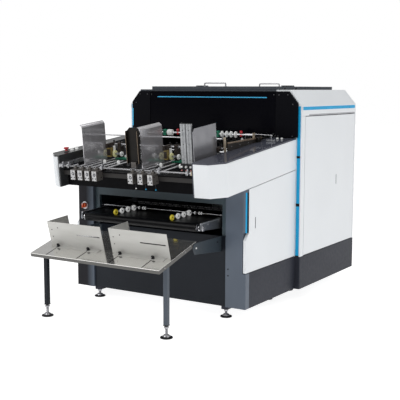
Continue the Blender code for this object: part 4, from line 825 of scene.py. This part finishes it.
def makeChannel():
    part = Part(feederFrame)
    (left, right), (front, back), (low, high), cut = pick(channelLook, "x v w corner")
    t = guideSheet["thick"]
    for x in (left, right - t):
        part.prism([(front + 1.2, low), (back, low), (back, high - cut), (front + 1.2, high - cut)],
                   "x", x, x + t, "channelBrown", 0)
        part.box((x, front, low), (x + t * 0.6, front + 1.4, high - cut), "bronzeEdge", 0.4)
    part.prism([(left + 0.5, low), (left + 0.5, high - cut), (left + cut, high), (right - cut, high),
                (right - 0.5, high - cut), (right - 0.5, low)], "y", back - t, back, "channelBrown", 0.6)
    part.box((left + 30, front + t, -104.7), (right - 30, back - 2, low + 10), "blockGrey", 1)
    for w in channelLook["screws"]:
        part.screw((-4.5, back - t, w), forward, 3.6, "blackOxide", 1.4)
    part.done("channelGuide", stands=["channel_guide"])

    posts = Part(feederFrame)
    half, (front, back), (low, high), (slit, deep) = pick(postLook, "half v w groove")
    deep += front
    for x in postLook["places"]:
        posts.at(x)
        posts.prism([(-half, front), (-slit, front), (-slit, deep), (slit, deep), (slit, front), (half, front),
                     (half, back), (-half, back)], "z", low, high - 3, "postGrey", 0.6)
        posts.box((-half, front, high - 3.2), (half, back, high), "blackOxide", 0.8)
        for w in postLook["screws"]:
            posts.turned([(0, 1.2), (2.2, 1.2), (3.4, 0.6), (3.4, -2)], (0, front, w), forward, "blackOxide", 14)
    posts.at()
    posts.box((345, -215, -124.7), (440, -167, -37), "blackOxide", 1.5)
    for x in postLook["knobs"]:
        posts.at(x, -215)
        posts.turned([(0, 12), (5, 12), (7, 10), (7, 0)], (0, 0, -56), forward, "whiteNylonPaintedGlow", 20)
        posts.turned([(0, 8), (4, 8), (5.5, 6.5), (5.5, 0)], (0, 0, -80), forward, "pinkNylon", 18)
        posts.screw((0, 0, -108), forward, 4.5)
    posts.done("slottedPosts", stands=["slotted_posts"])


makeChannel()
print("feeder rods, rails and guides made")

# press units and the nip rollers behind them

unitLook = {"leftPressUnit": ("left_press_unit", -380), "rightPressUnit": ("right_press_unit", 120)}
unitBoxes = (
    ((-25, 45, -87), (98, 105, -76), "greenCast", 1.5),
    ((-85, 75, -55), (0, 102, -35), "unitBrown", 1.2),
    ((-104, 40, -70), (-52, 80, 0), "amberBlock", 2),
    ((-99, 39.6, -60), (-57, 41.2, -12), "unitBrown", 0.6),
    ((-8, 42, -53), (8, 80, -37), "satinAlu", 1),
)


def makePressUnits():
    for name, (node, x) in unitLook.items():
        part = Part(feederFrame)
        part.at(x)
        part.prism([(70, -83), (70, 28), (78, 36), (112, 36), (112, -83)], "x", -14, 14, "unitBrown", 1.5)
        for row in unitBoxes:
            part.box(*row)
        part.rod((-30, 50, -45), (50, 50, -45), 4, "shaftChrome", 14)
        part.wheel((-29, 50, -45), 26, 10, "creamTyrePaintedGlow")
        part.wheel((30, 50, -45), 18, 12, "whiteNylonPaintedGlow", "unitBrown")
        part.turned([(0, 60), (8, 60), (9, 58), (9, 2), (8, 0), (0, 0)], (-40, 66, -50), upward, "whiteNylonPaintedGlow", 22)
        part.knob((48, 78, -76), 6.5, 13, "whiteNylonPaintedGlow")
        part.knob((70, 82, -76), 5.5, 11, "pinkNylon")
        part.knob((0, 91, 35.8), 8, 14, "blackOxide")
        for way in (-1, 1):
            part.turned([(8.5, 0), (12, 0), (11.5, 2), (8.5, 2)], (way * 14, 90, 19), (way, 0, 0), "nickel", 20)
        for w in (-65, -20):
            part.screw((0, 70, w), forward, 4.2)
        part.done(name, stands=[node])


makePressUnits()

clampLook = {"places": (-573, -520, -222, 256, 478), "half": 8, "knob": 6.5}


def makeRodClamps():
    # small clamps beside the rails on the front rod
    part = Part(feederFrame)
    half, knob = pick(clampLook, "half knob")
    for x in clampLook["places"]:
        part.at(x, *rodLook["front"])
        part.box((-half, -14, -12), (half, 14, 14), "satinAlu", 2)
        part.rod((0, -21, 3), (0, 21, 3), 6.5, "shaftChrome", 16)
        part.knob((0, 0, 13.8), knob, 15, "nickel")
        part.screw((0, -14, -7), forward, 3.2)
    part.done("rodClamps")


makeRodClamps()

# each group: block's place, first ring, pitch and number of rings, place of the knob
nipLook = {"v": 500, "w": 52, "radius": 23, "groups": ((-257, 31, 15, 3, 115), (210, 38, 38, 4, 198))}


def makeNipBar():
    part = Part(feederFrame)
    v, w, r = pick(nipLook, "v w radius")
    part.rod((rodLook["left"] + 1, v, w), (rodLook["right"] - 1, v, w), 6, "brightRod", 18)
    for start, side, look in rodEnds:
        part.at(start, v, side=side)
        part.box((0, -12, -55), (8, 12, w + 15), look, 1)
        part.turned([(0, 0), (10, 0), (10, 5), (9, 6), (0, 6)], (8, 0, w), outward, "nickel", 16)
    for x, first, pitch, count, knob in nipLook["groups"]:
        part.at(x, v, w)
        part.box((-12, -14, -22), (12, 14, 22), "greenCast", 1.5)
        part.screw((0, -14, 10), forward, 4.2)
        for i in range(count):
            at = (first + pitch * i - 3, 0, 0)
            part.turned([(r * 0.8, 0), (r * 0.96, 0), (r, 1), (r, 5), (r * 0.96, 6), (r * 0.8, 6)],
                        at, outward, "whiteNylonPaintedGlow", 28)
            part.turned([(0, 1.4), (r * 0.81, 1.4), (r * 0.81, 4.6), (0, 4.6)], at, outward, "blackOxide", 24)
        part.turned([(0, 0), (10, 0), (10, 13), (4.8, 15), (4.8, 20), (8.5, 22), (10, 26), (10, 37), (8.2, 40),
                     (0, 40)], (knob, 0, -12), upward, "redKnob", 22)
    part.done("nipBar", stands=["nip_bar"])


makeNipBar()

shaftLook = {"shafts": ((430, "whiteNylonPaintedGlow"), (560, "innerBlackAndShade")), "w": -70, "radius": 9,
             "rollers": (-520, -380, -240, -100, 40, 180, 320, 460)}
sideRailLook = {"face": 525.5, "screws": (150, 270, 390, 510), "bar": 2.2, "barV": 560,
                "stems": ((410, -62, 50.5), (620, 0, 45)), "buttons": (615, 651), "buttonV": 665}


def makeFeedShafts():
    part = Part(feederFrame)
    (x0, x1), r = pick(rodLook, "left right"), shaftLook["radius"]
    for v, look in shaftLook["shafts"]:
        part.at(0, v, shaftLook["w"])
        part.rod((x0, 0, 0), (x1, 0, 0), r, "shaftChrome", 18)
        for x in shaftLook["rollers"]:
            part.turned([(r, -24), (19, -24), (20, -22), (20, -12), (17.5, -10), (17.5, 10), (20, 12), (20, 22),
                         (19, 24), (r, 24)], (x, 0, 0), outward, look, 24)
        for x in (x0, x1 - 12):
            part.box((x, -18, -55), (x + 12, 18, 20), "satinAlu", 1.2)
    part.done("feedShafts")

    side = Part(feederFrame)
    side.prism([(105, 0), (105, 54), (600, 20), (600, -2)], "x", 516.5, 525.5, "bronzeAnodised", 1.2)
    side.prism([(112, 50), (112, 60), (590, 27.5), (590, 17.5)], "x", 514, 528, "bronzeEdge", 1.2)
    for v in sideRailLook["screws"]:
        side.screw((sideRailLook["face"], v, 26 - (v - 150) * 0.05), outward, 4.2, "nickel")
    side.box((500, 500, -4), (545, 545, 34), "channelBrown", 2.5)
    # thin bright bar on two stems, knob beside it and the bar on the arm's top
    bar, v = pick(sideRailLook, "bar barV")
    side.rod((406, v, 51), (633, v, 45), bar, "shaftChrome", 12)
    for x, foot, head in sideRailLook["stems"]:
        side.rod((x, v, foot), (x, v, head), bar, "satinAlu", 12)
    side.knob((388, 545, -4), 9, 22, "whiteNylonPaintedGlow")
    side.rod((388, 545, -70), (388, 545, -3), 4, "shaftChrome", 14)
    side.box((582, v - 8, 0.2), (650, v + 8, 13), "satinAlu", 1.5)
    for x in sideRailLook["buttons"]:
        at = (x, sideRailLook["buttonV"], 0)
        side.turned([(0, 12), (6.5, 12), (8.5, 9), (8.5, 0)], at, upward, "whiteNylonPaintedGlow", 20)
        side.turned([(0, 2), (11, 2), (11, 0)], at, upward, "blackOxide", 20)
    side.done("rightSideRail")


makeFeedShafts()
print("press units and nip rollers made")

# delivery conveyor and press wheels

beltLook = {"half": 470, "long": 620, "radius": 28, "thick": 3, "steps": 20, "shaft": 10, "cheek": (497, 511)}


def loopSection(radius):
    # the belt's outline round its two rollers
    points = []
    for centre, start in ((0, math.pi / 2), (beltLook["long"], -math.pi / 2)):
        for i in range(beltLook["steps"] + 1):
            a = start + math.pi * i / beltLook["steps"]
            points.append((centre + radius * math.cos(a), radius * math.sin(a)))
    return points


def makeBelt():
    part = Part(beltFrame)
    half, radius, thick = pick(beltLook, "half radius thick")
    outer, inner = loopSection(radius), loopSection(radius - thick)
    shape = bmesh.new()
    rows = [[shape.verts.new(part.spot((x, a, b))) for a, b in outline]
            for outline, x in ((outer, -half), (outer, half), (inner, half), (inner, -half))]
    joinRings(shape, rows + rows[:1], caps=False)
    part.add(shape, "beltRubber")
    part.done("conveyorBelt", stands=["conveyor_belt"])


def makeConveyorFrame():
    part = Part(beltFrame)
    half, long, radius, thick = pick(beltLook, "half long radius thick")
    wide, core, r = 2 * half, radius - thick - 0.3, beltLook["shaft"]
    inside, outside = beltLook["cheek"]
    for y in (0, long):
        part.turned([(r, 0), (core - 2, 0), (core, 2), (core, wide - 2), (core - 2, wide), (r, wide)],
                    (-half, y, 0), outward, "nickel", 32)
    for y, reach in ((0, 519), (long * 0.55, 544.7), (long, 544.7)):
        part.rod((-reach, y, 0), (reach, y, 0), r, "shaftChrome", 20)
    part.box((-504, 36, 0), (504, long - 36, core), "edgeSteel", 1)
    for side in part.bothSides():
        part.prism([(-24, -13), (-26, 10), (-20, 31), (640, 58), (640, -24), (240, -36)],
                   "x", inside, outside, "edgeSteel", 1.5)
        # flanged bearing, its collar and screws
        part.turned([(r, 8.5), (13, 8.5), (14, 7.5), (14.5, 4.5), (19, 4), (21.5, 2), (21.5, 0)],
                    (outside - 0.5, 0, 0), outward, "nickel", 24)
        part.turned([(r, 16), (12.5, 16), (12.5, 8), (r, 8)], (476, 0, 0), outward, "shaftChrome", 20)
        part.turned([(r, 0), (22, 0), (23, 2), (23, 7), (17, 10), (17, 15), (r, 15)],
                    (481.5, 0, 0), outward, "shaftChrome", 24)
        for y, z in ((60, 18), (200, 22), (340, 26)):
            part.screw((outside, y, z), outward, 4.8, "nickel")
        part.box((inside, -18, 29.5), (outside + 0.8, 220, 36), "satinAlu", 0.8)
    part.done("conveyorFrame", stands=["conveyor_frame"])


def beltTop(y):
    # height of the belt's upper run, in the machine's own measures
    return 643.5 + beltLook["radius"] / math.cos(beltTilt) + (y + 188) * math.tan(beltTilt)


pressLook = {"rodY": 58, "lift": 23, "rodRadius": 7, "reach": 544.7, "rails": (-240, 240), "wheel": 20,
             "pitch": 72, "count": 4}


def makePressBar():
    part = Part()
    rodY, reach, wheel, pitch, count = pick(pressLook, "rodY reach wheel pitch count")
    rodZ = beltTop(rodY) + pressLook["lift"]
    part.at(0, rodY, rodZ)
    part.rod((-reach, 0, 0), (reach, 0, 0), pressLook["rodRadius"], "shaftChrome", 20)
    for side in part.bothSides():
        part.box((reach, -18, -18), (532, 18, 18), "nickel", 3)
        part.turned([(7, 0), (12, 0), (12, 10), (7, 10)], (532, 0, 0), (-1, 0, 0), "shaftChrome", 20)
    last = rodY - wheel / 2
    first = last - pitch * (count - 1)
    for x in pressLook["rails"]:
        part.at()
        outline = [(y, beltTop(y) + wheel + lift) for y, lift in
                   ((first, -6), (last + 30, -6), (last + 30, 8), (first, 8))]
        part.prism(outline, "x", x - 4, x + 4, "satinAlu", 0.8)
        for i in range(count):
            y = first + pitch * i
            part.at(x, y, beltTop(y) + wheel / math.cos(beltTilt) + 0.3)
            part.wheel((3, 0, 0), wheel, 12, "nylonPaintedGlow" if i else "yellowTyrePaintedGlow", "blackOxide")
            part.screw((-4, 0, 0), (-1, 0, 0), 4)
        part.at(x, rodY, rodZ)
        part.box((-12, -12, -20), (3, 12, 12), "nylonPaintedGlow", 2)
        for i in range(4):
            part.rod((46 + 18 * i, 0, 0), (52 + 18 * i, 0, 0), 10.5, "blackOxide" if i == 1 else "nylonPaintedGlow", 18)
        part.turned([(0, 16), (6, 16), (8, 13), (8, 4), (4, 3), (4, 0)], (-5, 0, 11), upward, "blackOxide", 18)
    part.done("pressBar", stands=["press_bar"])


barLook = {"low": 712.5, "high": 737.5, "front": 150, "back": 154, "pitch": 12.5, "inset": 6.5}


def makeStripperBar():
    low, high, front, back, pitch, inset = pick(barLook, "low high front back pitch inset")
    for name, left, right, stands in (("stripperBar", 120, 544.7, ["stripper_bar"]), ("dottedStrip", -270, 119.7, [])):
        part = Part()
        part.box((left, front, low), (right, back, high), "innerBlackAndShade", 0.6)
        for i in range(int((right - left - 10) / pitch)):
            for row, z in enumerate((low + inset, high - inset)):
                if (i + row) % 5:
                    part.turned([(0, 2.2), (1.8, 1.8), (2.8, 0), (2.8, -0.4)], (left + 8 + pitch * i, front, z),
                                forward, "brightFace", 8)
        part.done(name, stands=stands)


makeBelt()
makeConveyorFrame()
makePressBar()
makeStripperBar()
print("conveyor made")

# delivery table, measured along its sheet and up from it

tableLook = {"half": 528, "long": 440, "flange": 26, "sheet": 3, "slots": (-392, -132, 132, 392),
             "slotHalf": 4, "slotFrom": 8, "slotTo": 220, "linerHalf": 12.5, "linerLow": -25.5,
             "linerEnds": (4.5, 236)}


def makeTable():
    part = Part(tableFrame)
    half, long, drop, t, slot = pick(tableLook, "half long flange sheet slotHalf")
    across = [-half] + [x + way * slot for x in tableLook["slots"] for way in (-1, 1)] + [half]
    along = [0, tableLook["slotFrom"], tableLook["slotTo"], long]
    part.plate(across, along, {(i, 1) for i in range(1, len(across) - 1, 2)}, -t, 0, "stainless")
    # folded front lip, then the other three flanges; the lip and side flanges carry a darker steel, painted shade
    curve = [math.pi / 2 * i / 5 for i in range(1, 6)]
    lip = [(4, 0)] + [(4 - 4 * math.sin(a), -4 + 4 * math.cos(a)) for a in curve]
    part.prism(lip + [(0, -drop), (2.8, -drop), (4, -4)], "x", -half, half, "shadedLipSteel", 0)
    part.box((-half, long - t, -drop), (half, long, -0.5), "stainless", 0.6)
    for side in part.bothSides():
        part.box((half, 4, -drop), (half - t, long, -0.5), "shadedLipSteel", 0.6)
        for s in (60, 300, 400):
            part.screw((half, s, -drop / 2), outward, 4.5, "nickel")
    part.done("outputTable", stands=["output_table"])

    liners = Part(tableFrame)
    half, low, (start, end) = pick(tableLook, "linerHalf linerLow linerEnds")
    high = -t - 0.2
    for x in tableLook["slots"]:
        liners.at(x)
        liners.box((-half - 1, start, low), (half + 1, end, low + 1), "innerBlackAndShade", 0)
        for side in (-1, 1):
            liners.box((side * half, start, low), (side * (half + 1), end, high), "innerBlackAndShade", 0)
        for a, b in ((start, start + 1), (end - 1, end)):
            liners.box((-half, a, low), (half, b, high), "innerBlackAndShade", 0)
    liners.done("slotLiners")


trayLook = {"leftTray": ("left_tray", "left_stop", -262), "rightTray": ("right_tray", "right_stop", 262)}
traySheet = {"thick": 3, "stand": 158, "tall": 170, "back": 365, "left": -208, "right": 248, "foot": 0.3}


def makeTrays():
    t, stand, tall, back, left, right, foot = pick(traySheet, "thick stand tall back left right foot")
    for name, (node, body, middle) in trayLook.items():
        part = Part(tableFrame)
        part.at(middle)
        part.plate([left, 30, right - 19, right], [foot, 87, 96, tall], {(1, 1)}, stand, stand + t,
                   "traySteel", axis="y")
        part.box((left + 30, stand - 40, foot), (right - 30, stand + 1.5, foot + 3), "traySteel", 0.8)
        part.prism([(stand + 1.5, foot), (back, foot), (back, 130), (stand + 1.5, tall)], "x", left, left + t,
                   "traySteel", 0.6)
        # wing screws that clamp the tray in the table's slots
        for x in (-130, 130):
            part.at(middle + x, stand - 22)
            part.turned([(0, 17), (6, 17), (8, 15.5), (9, 6), (13, 4.5), (13, 3.3)],
                        (0, 0, 0), upward, "blackOxide", 24)
            part.prism([(-13, 10), (-12, 19), (-6, 23.3), (6, 23.3), (12, 19), (13, 10)],
                       "y", -2.8, 2.8, "blackOxide", 1.4)
            part.rod((0, 0, -16), (0, 0, 6), 3, "shaftChrome", 14)
            part.hexagon((0, 0, -14.5), 12.5, 8, "nickel")
        part.at(middle)
        for h in (20, 120):
            part.screw((left, 190, h), (-1, 0, 0), 4)
        for x, h in ((30, 112), (30, 62), (85, 130)):
            part.screw((left + x, stand, h), forward, 3.8, "blackOxide", 1.6)
        part.done(name, body, stands=[node])


legLook = {"x": 497, "y": -600, "half": 15, "low": 82}


def underTable(y):
    return 458 + (y + 725) * math.tan(tableTilt) - tableLook["sheet"] / math.cos(tableTilt)


def makeLegs():
    x, y, h, low = pick(legLook, "x y half low")
    # the left leg takes the darker slate paint and the right leg the lighter leg paint: painted shade on the left leg
    for name, node, side, look in (("leftTableLeg", "left_table_leg", -1, "slatePaintAndShade"),
                                   ("rightTableLeg", "right_table_leg", 1, "legPaint")):
        part = Part()
        part.at(x, y, 0, side)
        part.prism([(-h, low), (h, low), (h, underTable(y + h) - 0.3), (-h, underTable(y - h) - 0.3)],
                   "x", -h, h, look, 3, 3)
        part.box((-h - 1, -h - 1, low - 2), (h + 1, h + 1, low + 4), "blackOxide", 1.2)
        addFoot(part, low + 3)
        part.done(name, stands=[node])


makeTable()
makeTrays()
makeLegs()
print("delivery table made")

# controls

controlLook = {"isolator": (-648, 0, 693), "stop": (-664, -183, 0.3), "keys": (-123, -68)}


def makeControls():
    plate = Part()
    plate.at(*controlLook["isolator"])
    plate.turned([(0, 0), (26.5, 0), (28, 1.2), (28, 4.8), (26.8, 6), (21, 6), (20.5, 5.2), (0, 5.2)],
                 (0, -0.3, 0), forward, "satinAlu", 36)
    plate.done("isolatorPlate", stands=["isolator_plate"])
    dial = Part()
    dial.at(*controlLook["isolator"])
    dial.turned([(0, 0), (19, 0), (19, 8), (17.5, 16.5), (16, 18), (0, 18)], (0, -6.6, 0), forward, "orangeDial", 32)
    dial.box((-5, -36.6, -18), (5, -16, 18), "orangeDial", 2.2)
    dial.box((-1.2, -37, 6), (1.2, -35, 16.5), "whiteNylonPaintedGlow", 0.4)
    dial.done("isolatorKnob", "isolator", stands=["isolator_knob"])

    stop = Part(feederFrame)
    at = controlLook["stop"]
    stop.turned([(0, 0), (20, 0), (20.5, 1.2), (20.5, 3), (13, 4.5), (13, 0.3)], at, upward, "dialRing", 28)
    stop.turned([(11, 0), (11, 18), (17, 18.5), (20, 21), (20, 25.5), (17.5, 29), (10, 30.5), (0, 31)],
                at, upward, "redKnob", 32)
    stop.done("stopButton", stands=["stop_button"])
    keys = Part(feederFrame)
    for v in controlLook["keys"]:
        keys.turned([(0, 18), (9.5, 18), (11, 16.5), (11, 4), (12, 3), (12.5, 0)],
                    (at[0], v, 0), upward, "nylonPaintedGlow", 28)
    keys.done("armButtons")


makeControls()

cupLook = {"frontPull": ("front_door", 728.6, 131, 659), "rearPull": ("rear_door", 770, 1388, 850)}
cupSize = {"deep": 11.6, "half": 5.8, "tall": 38.8}
seamLook = ((715, 50, -230.6), (728.3, 728, -227.8))


def makeCups():
    # shallow pulls let into the doors
    deep, half, tall = pick(cupSize, "deep half tall")
    for name, (body, face, y, z) in cupLook.items():
        cup = Part()
        cup.at(face, y, z)
        cup.box((-deep, -half, -tall), (2 - deep, half, tall), "slotGrey", 0)
        for side in (-1, 1):
            cup.box((-deep, side * half, -tall), (-0.6, side * (half - 0.8), tall), "slotGrey", 0)
            cup.box((-deep, -half, side * tall), (-0.6, half, side * (tall - 0.8)), "slotGrey", 0)
        cup.done(name, body)
    seam = Part(feederFrame)
    seam.box(*seamLook, "slotGrey", 0)
    seam.done("armSeam")


makeCups()
print("controls made")
